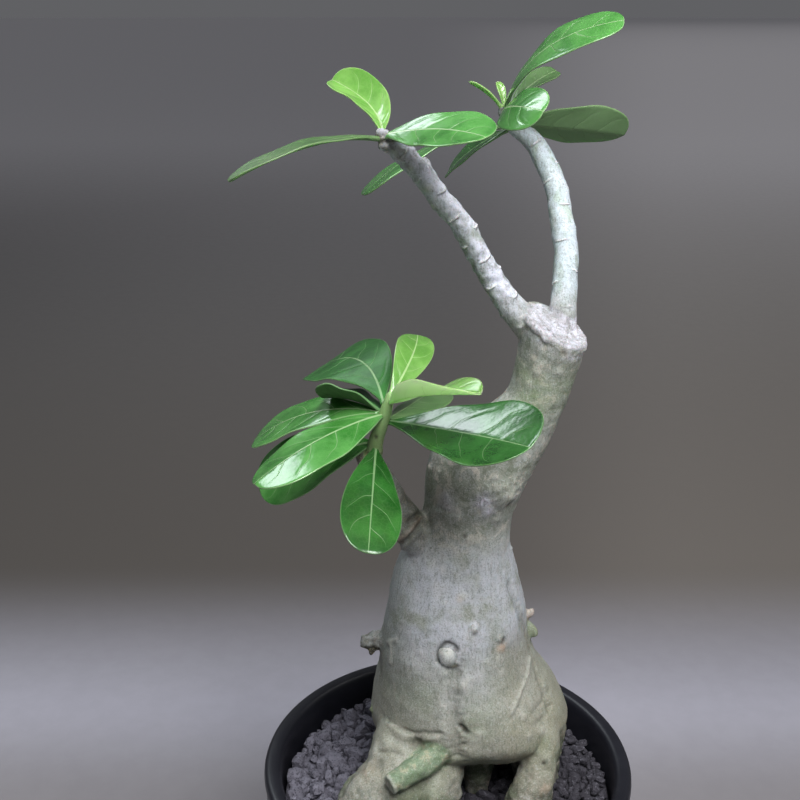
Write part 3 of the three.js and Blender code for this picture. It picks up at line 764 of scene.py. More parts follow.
# %% [markdown]
# ## Leaf scars on the branches
# Where a leaf has dropped, the branch keeps a crescent rim with a small hollow beside it, and
# each scar stands about 137 degrees round from the last, as leaves do. Both branches end in a
# dark brown crown of crowded scars, which carries the living tuft. The scars are numbered along
# the branch, and every point keeps its place in that count, so that the finish can draw their
# thin rims far finer than the mesh could.

# %% Leaf scars
GOLDEN_TURN = math.radians(137.5)
# A scar's place in its gap, how far and how fast that place sways, and how much its rim bends
SCAR_PLACE, SCAR_SWAY, SWAY_RATE, RIM_BEND, WIDEST_BEND = 0.4, 0.15, 7.3, 0.3, 4.0
CROWDING = 3
SHADED_SIDE = (-0.7, -0.1, -0.7)
scar_count = np.zeros(len(skin))
scar_gap = np.ones(len(skin))
scar_side = np.zeros((len(skin), 2))


def leaf_scars(stations, gap, height, crown):
    """Numbers the scars of a branch, raises them, and browns the crown over its last mm."""
    travel, angle, reach = along_limb(stations)
    here = step(reach, 1.75, 1.45) * step(travel, 4, 9)
    length = travel[reach < 1.2].max()
    crowded = np.clip(travel - (length - crown), 0, None)
    count = travel / gap + crowded * (CROWDING - 1) / gap
    local_gap = np.where(crowded > 0, gap / CROWDING, gap)
    number = np.floor(count)
    facing = np.cos(angle - number * GOLDEN_TURN)
    sway = SCAR_SWAY * np.sin(number * SWAY_RATE)
    bend = RIM_BEND * np.minimum(local_gap, WIDEST_BEND) * (1 - facing)
    bent = (count - number - SCAR_PLACE - sway) * local_gap - bend
    open_side = step(facing, 0.78, 0.98)
    ridge = bell(bent, 0.7) * open_side * here
    hollow = bell(bent + 1.3, 0.8) * open_side * here
    push[:] += (ridge - hollow * 0.05) * height * (1 + 0.8 * ragged)
    chosen = here > 0.02
    scar_count[chosen] = count[chosen]
    scar_gap[chosen] = local_gap[chosen]
    scar_side[chosen] = np.stack([np.cos(angle), np.sin(angle)], 1)[chosen]
    on_branch = here * step(travel, 6, 22)
    colour_in("branch", on_branch)
    crowned = here * step(travel, length - crown * 1.1, length - crown * 0.7)
    push[:] += crowned * (0.35 + 1.3 * cloud(2.2, 15))
    colour_in("brown", crowned * np.clip(0.62 + 0.5 * ragged + 0.4 * cloud(2.5, 25), 0, 1))
    # The side of each branch that faces down and to the left gets painted shade, tinted green
    underside = step(normals @ SHADED_SIDE, -0.1, 0.7)
    colour_in("green", on_branch * underside * np.clip(0.5 + cloud(3.5, 16), 0, 1) * 0.6)
    push[:] += on_branch * height * (0.9 * cloud(4, 23) + 0.6 * cloud(2, 24))
    return on_branch, int(number[chosen].max())


_, left_scars = leaf_scars(LEFT_BRANCH, gap=3.6, height=0.4, crown=7.5)
fair_bark, right_scars = leaf_scars(RIGHT_BRANCH, gap=5.0, height=0.17, crown=7)
colour_in("fair", fair_bark)
print("leaf scars, left and right:", left_scars, right_scars)

# %% [markdown]
# ## The sawn end
# The trunk was cut off above its two branches. The plant has sealed the cut with a pale corky
# face, slightly dished and cracked, and rolled a lip of callus over its rim that runs down in
# small drips.

# %% Sawn end
above_cut = (skin - SAWN_AT) @ SAWN_FACING
from_pith = np.linalg.norm(skin - SAWN_AT - np.outer(above_cut, SAWN_FACING), axis=1)
on_stump = step(from_pith, 15.5, 14) * (1 - masks["branch"])
near_cut = step(np.abs(above_cut), 4.5, 3) * on_stump
face = step(above_cut, -1.5, -0.6) * near_cut
drips = cloud(3, 5)
lip = step(np.abs(above_cut + 1.3 + 1.1 * drips), 1.6, 0.5) * step(from_pith, 10, 11.5) * near_cut
push += lip * 0.6 - face * 0.7 * step(from_pith, 10, 4) + face * (0.35 * cloud(3.2, 6) + 0.2 * ragged)
colour_in("cork", np.maximum(face, lip * 0.8))
below_lip = step(np.abs(above_cut + 4 + 1.5 * drips), 3, 1) * on_stump
colour_in("cork", below_lip * np.clip(0.3 + 1.2 * cloud(2.2, 17), 0, 1) * 0.6)
print("points on the sawn face:", int((face > 0.5).sum()))

# %% [markdown]
# ## Marks that the photo shows
# Buds, pruned twigs and wrinkles make this plant this one. Round marks are given as a pixel,
# a width, a height and how strongly they colour a mask. Creases and raised lines follow a few
# pixels each. Noise frays their outlines, because no scar has a clean edge.

# %% Round marks
# For each mask: pixel, width and height in mm, and how strongly the mark colours it
ROUND_MARKS = {
    "pale": [
        (474.5, 630, 1.5, 0.65, 0.75), (470, 638, 2.0, 0.1, 0.35), (462, 597, 1.7, 0.3, 0.7),
        (444, 603, 1.1, 0.2, 0.3), (466.5, 539.5, 1.3, 0.4, 0.5), (462, 686, 2.3, 0.75, 0.55),
        (455, 689, 1.6, 0.6, 0.6), (468, 680, 1.5, 0.4, 0.4), (464, 673, 1.4, 0.35, 0.3),
        (499, 656, 1.8, 0.3, 0.8), (486, 663, 1.3, 0.3, 0.45), (502, 674, 1.6, 0.3, 0.25),
        (523, 716, 1.7, 0.55, 0.45), (542, 729.5, 2.0, 0.6, 0.5), (528, 736, 1.5, 0.55, 0.4),
        (531, 702, 1.6, 0.3, 0.3), (480, 735, 2.1, 0.6, 0.45), (474, 741, 1.5, 0.35, 0.3),
        (547, 758, 2.2, 0.5, 0.35), (448, 503, 3.6, 0.35, 1.0), (456, 508, 2.6, 0.15, 0.7),
        (430, 467, 1.2, 0.6, 0.9), (438, 471, 1.2, 0.4, 0.8),
        (436, 476, 1.0, 0.3, 0.6), (496, 519, 1.5, 0.6, 0.55), (506, 496, 4.6, 1.7, 0.3),
        (497, 487, 2.8, 0.5, 0.35), (512, 548, 0.9, 0.6, 0.7), (432, 564, 2.2, 0.1, 0.45),
        (443, 569, 1.5, 0.1, 0.45), (437, 590, 3.0, 0.1, 0.2),
        (534, 652, 1.3, 0.3, 0.35), (379, 674, 1.2, 0.5, 0.3), (388, 743, 2.4, 0.7, 0.45),
        (375, 752, 3.6, 0.8, 0.5), (403, 762, 3.0, 0.4, 0.35), (350, 788, 3.2, 0.8, 0.4),
        (433, 783, 3.4, 0.3, 0.35), (536, 372, 1.6, 0.4, 0.8), (541, 365, 2.0, 0.3, 0.5),
        (529, 383, 1.3, 0.3, 0.6), (560, 372, 1.6, 0.3, 0.5), (573, 362, 1.4, 0.4, 0.5),
        (409, 167, 1.3, 0.9, 0.8), (427, 188, 1.2, 0.5, 0.9), (433, 206, 1.2, 0.4, 0.9),
    ],
    # Dark marks are hollows; their dark is painted shade
    "dark": [
        (475, 634.5, 0.9, -0.4, 0.55), (465, 536.6, 0.8, -0.35, 0.8), (503, 640.5, 1.2, -0.9, 0.9),
        (544, 763.6, 0.9, -0.6, 0.9), (509, 504, 1.5, -1.3, 0.95), (416, 742, 2.6, -1.6, 0.6),
        (549, 329, 0.9, -0.5, 0.7), (380, 764, 2.2, -0.5, 0.3), (376, 437, 0.7, -0.3, 1.0),
    ],
    "pink": [
        (461, 600, 1.2, 0.1, 0.35), (501, 648, 2.0, 0.65, 0.85), (545, 789, 2.0, 0.5, 0.4),
        (368, 770, 3.4, 0.8, 0.25),
    ],
    "brown": [
        (467, 754, 1.8, 0.4, 0.3), (463.5, 746, 1.3, -0.4, 0.35), (564, 350, 1.5, 0.2, 0.6),
    ],
    "cork": [
        (446, 501, 3.2, 0.0, 0.6), (484, 503, 3.0, 0.25, 1.0), (488, 511, 2.2, 0.15, 0.9),
        (423, 163, 1.5, 0.8, 0.8), (429, 168, 1.1, 0.7, 0.8),
    ],
}


def add_mark(near, height, mask, strength):
    """Pushes the skin and colours a mask by the same share from 0 to 1."""
    push[:] += near * height
    colour_in(mask, np.clip(near * 1.3, 0, 1) * strength)


for mask, marks in ROUND_MARKS.items():
    for px, py, width, height, strength in marks:
        add_mark(bell(away_from(px, py) * (1 + 0.4 * ragged), width), height, mask, strength)
    print("round marks that are", mask, len(marks))

# %% Creases and raised lines
# Pixels along the line, width and height in mm, mask and its strength
# Lines with the dark mask are creases, slits and grooves; their dark is painted shade
LINE_MARKS = [
    ([(455, 672), (453, 700), (454, 728), (457, 757)], 2.4, -1.5, "dark", 0.22),
    ([(445, 674), (443, 700), (444, 728)], 2.4, 0.6, "pale", 0.16),
    ([(388, 720), (399, 728), (414, 733), (440, 733)], 0.9, -0.8, "dark", 0.3),
    ([(390, 724), (402, 734), (416, 738), (436, 738)], 1.4, 0.8, "pale", 0.15),
    ([(392, 737), (403, 743), (412, 744)], 1.1, -0.5, "dark", 0.25),
    ([(380, 752), (392, 752), (402, 756)], 1.0, -0.5, "dark", 0.2),
    ([(510, 585), (514, 597), (522, 622), (531, 649), (537, 671), (549, 707)], 1.6, -0.9, "dark", 0.22),
    ([(530, 658), (528, 672)], 0.9, 0.5, "pale", 0.4),
    ([(528, 674), (523, 686), (519, 697)], 0.8, 0.45, "pale", 0.6),
    ([(516, 703), (512.5, 712)], 0.8, 0.4, "pale", 0.5),
    ([(524, 692), (519, 706), (512, 718)], 1.1, -0.4, "dark", 0.18),
    ([(549, 690), (541, 704), (533, 712)], 1.0, -0.4, "dark", 0.18),
    ([(552, 704), (545, 716), (536, 724)], 1.0, -0.35, "dark", 0.15),
    ([(461, 727), (467, 733)], 1.1, -1.5, "dark", 0.95),
    ([(390, 642), (391, 652), (390, 662)], 1.1, 0.5, "pale", 0.45),
    ([(387, 642), (396, 640)], 0.8, 0.4, "pale", 0.35),
    ([(396, 553), (407, 545), (419, 531)], 1.0, 0.9, "brown", 0.35),
    ([(397, 545), (409, 537), (419, 524)], 0.9, -0.8, "dark", 0.5),
    ([(399, 540), (411, 530), (419, 518)], 1.0, 0.9, "pink", 0.35),
    ([(409, 522), (416, 516), (421, 508)], 1.2, -0.7, "dark", 0.6),
    (
        [
            (438.5, 661), (437.8, 655), (439.5, 648.5), (443.5, 644.5),
            (449, 643.3), (454, 645.5), (457.5, 650),
        ],
        0.8, -1.0, "dark", 0.85,
    ),
    ([(453, 667), (456, 665)], 0.9, 0.5, "brown", 0.7),
    ([(394, 150), (398, 156), (404, 161)], 0.8, 0.8, "pale", 0.9),
    ([(398, 147), (404, 153)], 0.7, 0.6, "pale", 0.8),
]
for pixels, width, height, mask, strength in LINE_MARKS:
    add_mark(bell(distance_to_line(pixels) * (1 + 0.45 * ragged), width), height, mask, strength)
print("line marks:", len(LINE_MARKS))

# %% Green and brown zones
def on_growth(name, reach_out=1.6):
    """1 on a small growth, fading to 0 round it."""
    reach = along_limb(GROWTHS[name])[2]
    return step(reach, reach_out, reach_out - 0.4)


cut_travel, _, cut_reach = along_limb(CUT_ROOT)
on_cut_root = step(cut_reach, 1.4, 1.15) * step(cut_travel, 2, 6)
colour_in("cut_root", on_cut_root)
push += on_cut_root * (0.5 * cloud(5, 18) + 0.3 * cloud(2.2, 19))
cut_length = cut_travel[cut_reach < 0.9].max()
colour_in("pale", on_cut_root * step(cut_travel + ragged * 1.2, cut_length - 1.6, cut_length - 0.8) * 0.7)
colour_in("brown", on_cut_root * step(cut_travel, 12, 4) * np.clip(0.2 + 1.5 * ragged, 0, 0.7))
# Clouds of algae green the lower skin
green_tint = np.clip(cloud(15, 8) * 2.2 - 0.1, 0, 1) * step(skin[:, 2], 165, 140)
colour_in("green", green_tint * 0.5)
# Pixel, width in mm and strength
GREEN_SPOTS = [
    (425, 700, 7, 0.22), (480, 725, 9, 0.3), (540, 745, 6, 0.3),
    (536, 395, 9, 0.75), (520, 372, 5, 0.5), (570, 385, 6, 0.4),
]
for px, py, width, strength in GREEN_SPOTS:
    colour_in("green", bell(away_from(px, py), width) * strength * (1 + 0.6 * ragged))
# Growth, mask and strength
TINTED_GROWTHS = [
    ("green_nub", "green", 0.6), ("low_nub", "green", 0.8), ("pink_nub", "pink", 0.6),
    ("stub_spur", "brown", 0.9), ("branch_knob", "cork", 0.8), ("branch_shoulder", "cork", 0.5),
]
for name, mask, strength in TINTED_GROWTHS:
    colour_in(mask, on_growth(name) * strength)
on_stub = on_growth("woody_stub", 1.7)
push += on_stub * (0.9 * cloud(2.6, 20) + 0.5 * ragged)
under_stub = step(skin[:, 2] + ragged, 183.6, 182)
colour_in("brown", on_stub * np.clip(under_stub + 0.35 + cloud(2.2, 21), 0, 0.85))
colour_in("cork", on_stub * (1 - under_stub) * 0.14)
side_travel, _, side_reach = along_limb(SIDE_BRANCH)
on_side = step(side_reach, 1.6, 1.25) * (1 - masks["shoot"])
side_length = side_travel[side_reach < 1].max()
colour_in("brown", on_side * step(side_travel, side_length - 9, side_length - 4) * 0.8)
colour_in("brown", on_side * step(side_travel, 4, 14) * np.clip(0.35 + 0.5 * cloud(4, 22), 0, 0.7))
shoot_ring = bell(shoot_travel - 6.2, 0.8) * masks["shoot"]
push += shoot_ring * 0.25
colour_in("brown", shoot_ring * 0.7)
print("length in mm of the cut root:", round(cut_length, 1), "and the side branch:", round(side_length, 1))

# %% Apply the sculpting
skin += normals * push[:, None]
mesh.vertices.foreach_set("co", (skin * MM).ravel())
fields = {name: np.clip(values, 0, 1) for name, values in masks.items()}
fields |= {"scar_count": scar_count, "scar_gap": scar_gap}
fields |= {"scar_x": scar_side[:, 0], "scar_y": scar_side[:, 1]}
for name, values in fields.items():
    carry(mesh, name, values)
mesh.polygons.foreach_set("use_smooth", [True] * len(mesh.polygons))
mesh.update()
print("pushes in mm from", round(push.min(), 2), "to", round(push.max(), 2))

# %% [markdown]
# ## Living bark
# The skin of a desert rose is a thin grey cork over green tissue. It looks grey-green because
# both show: the cork is finely streaked along the stem and freckled with pores, and where it is
# thin the green comes through. The finish lays the broad zones first, then what the masks of
# the last cells say, with fine grain over nearly all of it. A scar's rim is drawn from the
# count that each point carries.

# %% Bark finish
def scar_rims(paint):
    """Thin crescent rims and the hollows beside them, from 0 to 1."""
    count, gap, x, y = (paint.attribute("scar_" + n) for n in ("count", "gap", "x", "y"))
    number = count.maths("FLOOR", count + 0.0001)
    turn = number * GOLDEN_TURN
    facing = x * turn.maths("COSINE", turn) + y * turn.maths("SINE", turn)
    sway = number.maths("SINE", number * SWAY_RATE) * SCAR_SWAY
    bend = (1 - facing) * gap.maths("MINIMUM", gap, WIDEST_BEND) * RIM_BEND
    bent = (count - number - SCAR_PLACE - sway) * gap - bend
    bent = bent + (paint.noise(1.4, 2) - 0.5) * 1.1
    side = paint.step(facing, 0.76, 0.95)
    return paint.step(abs(bent), 0.62, 0.15) * side, paint.step(abs(bent + 0.8), 0.7, 0.1) * side


paint = Finish("living_bark")
pale, green, brown, dark, pink, cork, branch, fair, shoot, cut_root = (paint.attribute(n) for n in MASKS)
sideways, _, height = paint.parts(paint.place)
blots = paint.noise(14, 3, 0.55)
patches = paint.noise(3.6, 4, 0.65)
blotches = paint.noise(6.5, 5, 0.72, None, 0.5)
grain = paint.noise(0.6, 3, 0.75)
fibres = paint.noise(1.0, 4, 0.7, paint.stretched(1, 1, 0.16))
streaks = paint.noise(5, 2, 0.5, paint.stretched(1, 1, 0.3))
# The hollow beside each scar rim is darkened below as painted shade
rim, shaded_notch = (line * branch for line in scar_rims(paint))
print("bark patterns ready, nodes so far:", len(paint.tree.nodes))

# %% Base and trunk colours
# Where each zone of the bark begins and where it is full, in mm of height or of x
LEGS, LOW_BARK, HIGH_BARK = (148, 132), (186, 152), (222, 246)
BLOOM_FOOT, BLOOM_HEAD = (184, 202), (240, 224)
SHADE_FOOT, SHADE_HEAD, SHADE_SIDE = (150, 168), (246, 228), (-10, -23)
RIGHT_HEAD, RIGHT_SIDE = (205, 188), (10, 26)

bloom = paint.step(height, *BLOOM_FOOT) * paint.step(height, *BLOOM_HEAD) * paint.step(blots, 0.32, 0.52)
# Painted shade on the left flank of the swollen base, in grey-green
shaded_left = paint.step(sideways, *SHADE_SIDE) * paint.step(height, *SHADE_HEAD) * paint.step(height, *SHADE_FOOT)
low_right = paint.step(sideways, *RIGHT_SIDE) * paint.step(height, *RIGHT_HEAD)
high_up = paint.step(height, *HIGH_BARK)
leg_skin = paint.coats(
    paint.mix(paint.step(patches, 0.38, 0.6), rgb(66, 70, 56), rgb(136, 134, 124)),
    (paint.step(blotches, 0.55, 0.62) * 0.5, rgb(190, 180, 168)),
    (paint.step(blotches, 0.46, 0.4) * 0.55, rgb(82, 92, 70)),
)
shade = paint.coats(
    paint.mix(paint.step(blots, 0.36, 0.64), rgb(154, 158, 151), rgb(177, 179, 178)),
    (bloom * 0.65, rgb(191, 195, 206)),
    # painted shade on the left flank
    (shaded_left * (0.3 + patches * 0.4), rgb(108, 116, 100)),
    (low_right * (0.25 + patches * 0.4), rgb(136, 132, 108)),
    (paint.step(height, *LOW_BARK) * (0.3 + patches * 0.6), rgb(148, 145, 122)),
    (paint.step(height, *LEGS) * 0.85, leg_skin),
    (high_up * paint.step(blots, 0.4, 0.58) * 0.6, rgb(126, 134, 108)),
    (high_up * paint.step(blotches, 0.53, 0.6) * 0.7, rgb(200, 194, 182)),
    (high_up * paint.step(blotches, 0.47, 0.4) * 0.5, rgb(94, 104, 82)),
    (paint.step(patches, 0.54, 0.72) * 0.3, rgb(196, 198, 198)),
    (paint.step(patches, 0.45, 0.28) * 0.4, rgb(116, 122, 104)),
)
print("base and trunk coloured, nodes so far:", len(paint.tree.nodes))

# %% Branch colours
# Heights in mm where painted light starts on top of the rough branch, and painted shade low on the fair one
PAINTED_LIGHT_ABOVE, SHADE_BELOW = (342, 362), (352, 325)

rough_skin = paint.coats(
    paint.mix(paint.step(patches, 0.36, 0.6), rgb(164, 168, 173), rgb(222, 225, 240)),
    # painted light on the top of the rough branch
    (paint.step(height, *PAINTED_LIGHT_ABOVE) * 0.45, rgb(226, 228, 240)),
    (paint.step(blots, 0.55, 0.68) * 0.4, rgb(148, 164, 142)),
)
fair_skin = paint.coats(
    paint.mix(paint.step(patches, 0.3, 0.6), rgb(188, 201, 208), rgb(212, 224, 232)),
    (paint.step(streaks, 0.55, 0.65) * 0.4, rgb(152, 176, 136)),
    # painted shade low on the fair branch
    (paint.step(height, *SHADE_BELOW) * 0.5, rgb(178, 190, 198)),
)
branch_skin = paint.coats(
    # painted shade in the hollow beside each rim
    rough_skin, (fair, fair_skin), (shaded_notch * 0.12, rgb(120, 122, 114)), (rim * 0.9, rgb(244, 244, 248))
)
print("branches coloured, nodes so far:", len(paint.tree.nodes))

# %% Colours of the masks
SHOOT_TIP = (279, 290)

# One green for algae, green spots and nubs, also laid as painted shade on the undersides of the branches
green_tint = paint.mix(patches, rgb(96, 118, 74), rgb(136, 154, 112))
root_green = paint.coats(
    paint.mix(paint.step(patches, 0.35, 0.65), rgb(108, 129, 98), rgb(140, 156, 130)),
    (paint.step(patches, 0.53, 0.64) * 0.6, rgb(170, 162, 134)),
    (paint.step(paint.noise(2.6, 4, 0.7), 0.6, 0.68) * 0.4, rgb(112, 108, 76)),
)
shoot_skin = paint.mix(paint.step(height, *SHOOT_TIP), rgb(112, 136, 88), rgb(150, 188, 122))
shoot_skin = paint.mix(patches * 0.5, shoot_skin, rgb(140, 164, 110))
crown = paint.mix(paint.step(paint.noise(1.1, 3, 0.6), 0.46, 0.66), rgb(46, 39, 25), rgb(124, 114, 82))
crown = paint.mix(rim * 0.8, crown, rgb(188, 182, 158))
ridge = abs(paint.noise(4.2, 3, 0.6, None, 1.4) - 0.5)
cracks = paint.step(ridge, 0.022, 0.0) * cork
cork_skin = paint.coats(
    paint.mix(paint.step(patches, 0.38, 0.62), rgb(182, 180, 186), rgb(216, 216, 227)),
    (paint.step(grain, 0.44, 0.3) * 0.45, rgb(120, 116, 108)),
    (cracks * 0.4, rgb(116, 108, 100)),
)
worn = 1 - shoot * 0.8
shade = paint.coats(
    shade,
    (branch * 0.92, branch_skin),
    # green: algae and spots, and painted shade under the branches
    (green * (0.4 + patches * 0.7), green_tint),
    (cut_root, root_green),
    (shoot, shoot_skin),
    (brown, crown),
    (pink * 0.8, rgb(186, 158, 136)),
    (pale * (0.35 + patches * 0.7), rgb(202, 202, 192)),
    (cork, cork_skin),
    (paint.step(fibres, 0.5, 0.34) * worn * 0.4, rgb(98, 104, 90)),
    (paint.step(grain, 0.48, 0.34) * worn * 0.5, rgb(92, 98, 82)),
    (paint.step(grain, 0.54, 0.68) * worn * 0.35, rgb(210, 212, 214)),
    # painted shade in the hollows, creases and slits
    (dark * 0.85, rgb(48, 46, 36)),
)
print("masks coloured, nodes so far:", len(paint.tree.nodes))

# %% Bark relief and shine
relief = fibres * 0.4 + grain * 0.45 + patches * (0.4 + cork * 0.8) + rim * 0.9 - shaded_notch * 0.2 - cracks * 0.5
bark = paint.finish(
    {
        "Base Color": shade,
        "Roughness": 0.48 + grain * 0.18 + pale * 0.12 + brown * 0.1 + cork * 0.14 - shoot * 0.14,
        "Normal": paint.relief(relief, 0.42),
    },
    {"Subsurface Weight": 0.06, "Subsurface Scale": 0.0012, "Specular IOR Level": 0.4},
)
mesh.materials.clear()
mesh.materials.append(bark)
print("bark has", len(bark.node_tree.nodes), "nodes")

# %% [markdown]
# ## One skin, three pieces
# The skin is fine enough for its smallest scars, which makes it too big to keep as one piece.
# Two level cuts divide it where it is plainest. Each part is closed by a flat face, which stays
# hidden against the next one, and its rim is marked sharp so that no shading runs over it.

# %% Cut the skin
CUTS = {"skin_roots": (None, 146), "skin_base": (146, 236), "skin_top": (236, None)}


def skin_between(name, low, high):
    """The part of the skin between two heights in mm, closed at the cuts."""
    part = bmesh.new()
    part.from_mesh(mesh)
    for level, keep in ((low, -1), (high, 1)):
        if level is not None:
            everything = part.verts[:] + part.edges[:] + part.faces[:]
            made = bmesh.ops.bisect_plane(
                part, geom=everything, plane_co=(0, 0, level * MM), plane_no=(0, 0, keep), clear_outer=True
            )
            rim_edges = [e for e in made["geom_cut"] if isinstance(e, bmesh.types.BMEdge)]
            bmesh.ops.edgeloop_fill(part, edges=rim_edges)
            for edge in rim_edges:
                edge.smooth = False
    own = bpy.data.meshes.new(name)
    part.to_mesh(own)
    part.free()
    own.materials.append(bark)
    piece = bpy.data.objects.new(name, own)
    bpy.context.scene.collection.objects.link(piece)
    declare(piece, "bark", "plant_body")
    print(name, "triangles:", sum(len(p.vertices) - 2 for p in own.polygons))
    return piece


skin_pieces = {name: skin_between(name, *levels) for name, levels in CUTS.items()}
bpy.data.objects.remove(plant)

# %% [markdown]
# ## The pruned bud
# One bud was pruned and healed as a smooth oval button with a sharp groove round it. It stays a
# piece of its own, so that the groove keeps a crisp edge. Pale cork covers its tip.

# %% Button
button_points, button_faces = limb(GROWTHS["button"], 36, 10)
button = piece_from("pruned_bud", button_points, button_faces, bark)
BUTTON_STRETCH, BUTTON_SHIFT = (1.06, 1.1, 1.32), (0.1, -0.3, -2.3)
BUTTON_LUMPS, LUMP_HEIGHT = 1.6, 0.22
button_middle, button_tip = (np.array(GROWTHS["button"][k][:3]) for k in (1, -1))
button_points = button_middle + (button_points - button_middle) * BUTTON_STRETCH + BUTTON_SHIFT
tip_near = np.linalg.norm(button_points - button_tip, axis=1)
lumps = np.array([noise.noise(Vector(p) / BUTTON_LUMPS) for p in button_points.tolist()])
outwards = button_points - button_middle
outwards /= np.linalg.norm(outwards, axis=1)[:, None]
button_points += outwards * (lumps * LUMP_HEIGHT)[:, None]
button.data.vertices.foreach_set("co", (button_points * MM).ravel())
cap = 0.25 + step(tip_near, 3.4, 2.4) * 0.45
for name in MASKS:
    carry(button.data, name, cap if name == "pale" else 0 * cap)
declare(button, "bark", "plant_body")
print("button faces:", len(button.data.polygons))

# %% [markdown]
# ## Leaf finishes
# A desert rose leaf is thick and glossy with a pale midrib. Side veins leave it nearly square,
# bend forward and fade out before the margin, which has a thin pale rim. The blades carry how
# far each point is from the midrib and from the margin in mm, so rib and rim keep their width
# on every leaf. The underside is matt and greyer, and its veins show less.

# %% Leaf finish
VEINS = 5
TYPICAL_LENGTH = 52
RIB_AT_STALK, RIB_LOST_AT_TIP = 0.56, 0.36


def side_veins(paint, across, along):
    """The side veins and the paler band that goes with them, from 0 to 1."""
    out = abs(across)
    other_side = paint.step(across, -0.01, 0.01)
    bend = 0.12 * out + 0.14 * out**3
    wander = (paint.noise(13, 1) - 0.5) * 0.16
    phase = (along - bend + wander) * VEINS + other_side * 0.4
    ahead = phase.maths("FRACT", phase)
    to_vein = (0.5 - abs(ahead - 0.5)) * (TYPICAL_LENGTH / VEINS)
    reach = paint.step(out, 0.95, 0.65) * paint.step(along, 0.06, 0.16) * paint.step(along, 0.97, 0.84)
    return paint.step(to_vein, 0.32 - out * 0.12, 0.08) * reach, paint.step(to_vein, 2.4, 0.3) * reach


def leaf_finish(name, low, high, veins, under, glow=0.1, gloss=0.13, shine=0.7):
    """A leaf blade that runs from one green to another, with veins, rim and matt underside."""
    paint = Finish(name)
    over, along, _ = paint.parts(paint.add("ShaderNodeTexCoord", out="UV"))
    vein, halo = side_veins(paint, over * 2 - 1, along)
    from_rib, from_rim, below = (paint.attribute(n) for n in ("from_rib", "from_rim", "below"))
    rib = paint.step(from_rib / (RIB_AT_STALK - along * RIB_LOST_AT_TIP), 1.0, 0.5)
    rim = paint.step(from_rim, 0.42, 0.12)
    net = paint.step(paint.cells(1.5, "DISTANCE_TO_EDGE"), 0.1, 0.0)
    clouds, fine, ripple = paint.noise(11, 3), paint.noise(0.6, 2), paint.noise(3.2, 2)
    shade = paint.coats(
        paint.mix(paint.step(clouds, 0.32, 0.68), low, high),
        (halo * 0.3, high),
        (net * 0.06, veins),
        (vein * 0.5, veins),
        (rib * 0.9, veins),
        (below, paint.mix(vein * 0.3 + rib * 0.6, under, veins)),
        (rim * 0.5, veins),
    )
    sunk = (1 - vein * 0.6) * (1 - rib * 0.4) + (1 - halo) * 0.25 + fine * 0.05 + ripple * 0.42
    return paint.finish(
        {
            "Base Color": shade,
            "Roughness": gloss + fine * 0.12 + below * 0.3 + rib * 0.05,
            "Normal": paint.relief(sunk, 0.24),
        },
        {
            "Subsurface Weight": glow,
            "Subsurface Radius": (0.6, 1.0, 0.45),
            "Subsurface Scale": 0.002 + glow * 0.006,
            "Specular IOR Level": shine,
        },
    )


# %% Greens
# For each: two greens of the blade, its veins and its underside, then glow, gloss and shine
LEAF_COLOURS = {
    "deep": ((24, 74, 22), (44, 102, 38), (124, 160, 110), (82, 118, 72)),
    "satin": ((32, 88, 32), (54, 118, 50), (138, 172, 126), (82, 118, 72), 0.1, 0.36, 0.3),
    "mid": ((52, 116, 44), (84, 148, 72), (154, 186, 136), (104, 142, 92)),
    "fresh": ((94, 148, 62), (124, 174, 88), (168, 200, 136), (140, 182, 110), 0.35),
    "pale": ((104, 156, 74), (122, 172, 92), (160, 194, 130), (190, 220, 172), 0.9),
    "dull": ((66, 100, 54), (82, 114, 68), (122, 150, 102), (112, 146, 98), 0.2, 0.36),
}
GREENS = {}
for name, (low, high, veins, under, *surface) in LEAF_COLOURS.items():
    colours = [rgb(*colour) for colour in (low, high, veins, under)]
    GREENS[name] = leaf_finish(name + "_green_leaf", *colours, *surface)
print("leaf finishes:", ", ".join(GREENS))

# %% [markdown]
# ## Leaf blades
# Every blade is spoon-shaped: it widens slowly from a short stalk and ends blunt and round. It
# is a curved strip that may bow, sweep sideways, twist and fold along its midrib. Two faces
# share the points of the margin, with a rounded rim between, so the blade is closed. Heading
# and rise say which way the tip lies from the twig; bow and sweep are parts of the length.

# %% Blade shape
ALONG_STEPS, ACROSS_STEPS = 44, 22
SPOON_RISE, SPOON_FALL = 1.0, 0.42
PEAK_AT = SPOON_RISE / (SPOON_RISE + SPOON_FALL)


def spoon(t):
    """Half width along the blade as a share of its widest."""
    peak = PEAK_AT**SPOON_RISE * (1 - PEAK_AT) ** SPOON_FALL
    return t**SPOON_RISE * (1 - t) ** SPOON_FALL / peak


def unit(v):
    """The vector at length 1."""
    return v / np.linalg.norm(v)


def blade_frame(heading, rise, roll):
    """The line of the blade, its side and its up direction."""
    heading, rise, roll = (math.radians(a) for a in (heading, rise, roll))
    chord = np.array([math.cos(rise) * math.cos(heading), math.cos(rise) * math.sin(heading), math.sin(rise)])
    level = unit(np.cross(chord, (0, 0, 1)))
    above = np.cross(level, chord)
    side = level * math.cos(roll) + above * math.sin(roll)
    up = above * math.cos(roll) - level * math.sin(roll)
    return chord, side, up


print("a blade is widest at this share of its length:", round(PEAK_AT, 2))

# %% Blade
# Thickness at the midrib and towards the edge, and how far in edge and tip are rounded, in mm
BLADE_RIB, BLADE_EDGE, EDGE_ROUNDING, TIP_ROUNDING = 1.0, 0.6, 0.4, 0.9
# The stalk's half width and thickness in mm, and its share of the length
STALK_HALF, STALK_THICK, STALK_SHARE = 1.2, 1.9, 0.3
# Where the last row of points lies, and how much closer the rows get towards the tip
LAST_ROW, TIP_CROWDING = 0.998, 1.5
RANDOM_TURN = 6.28
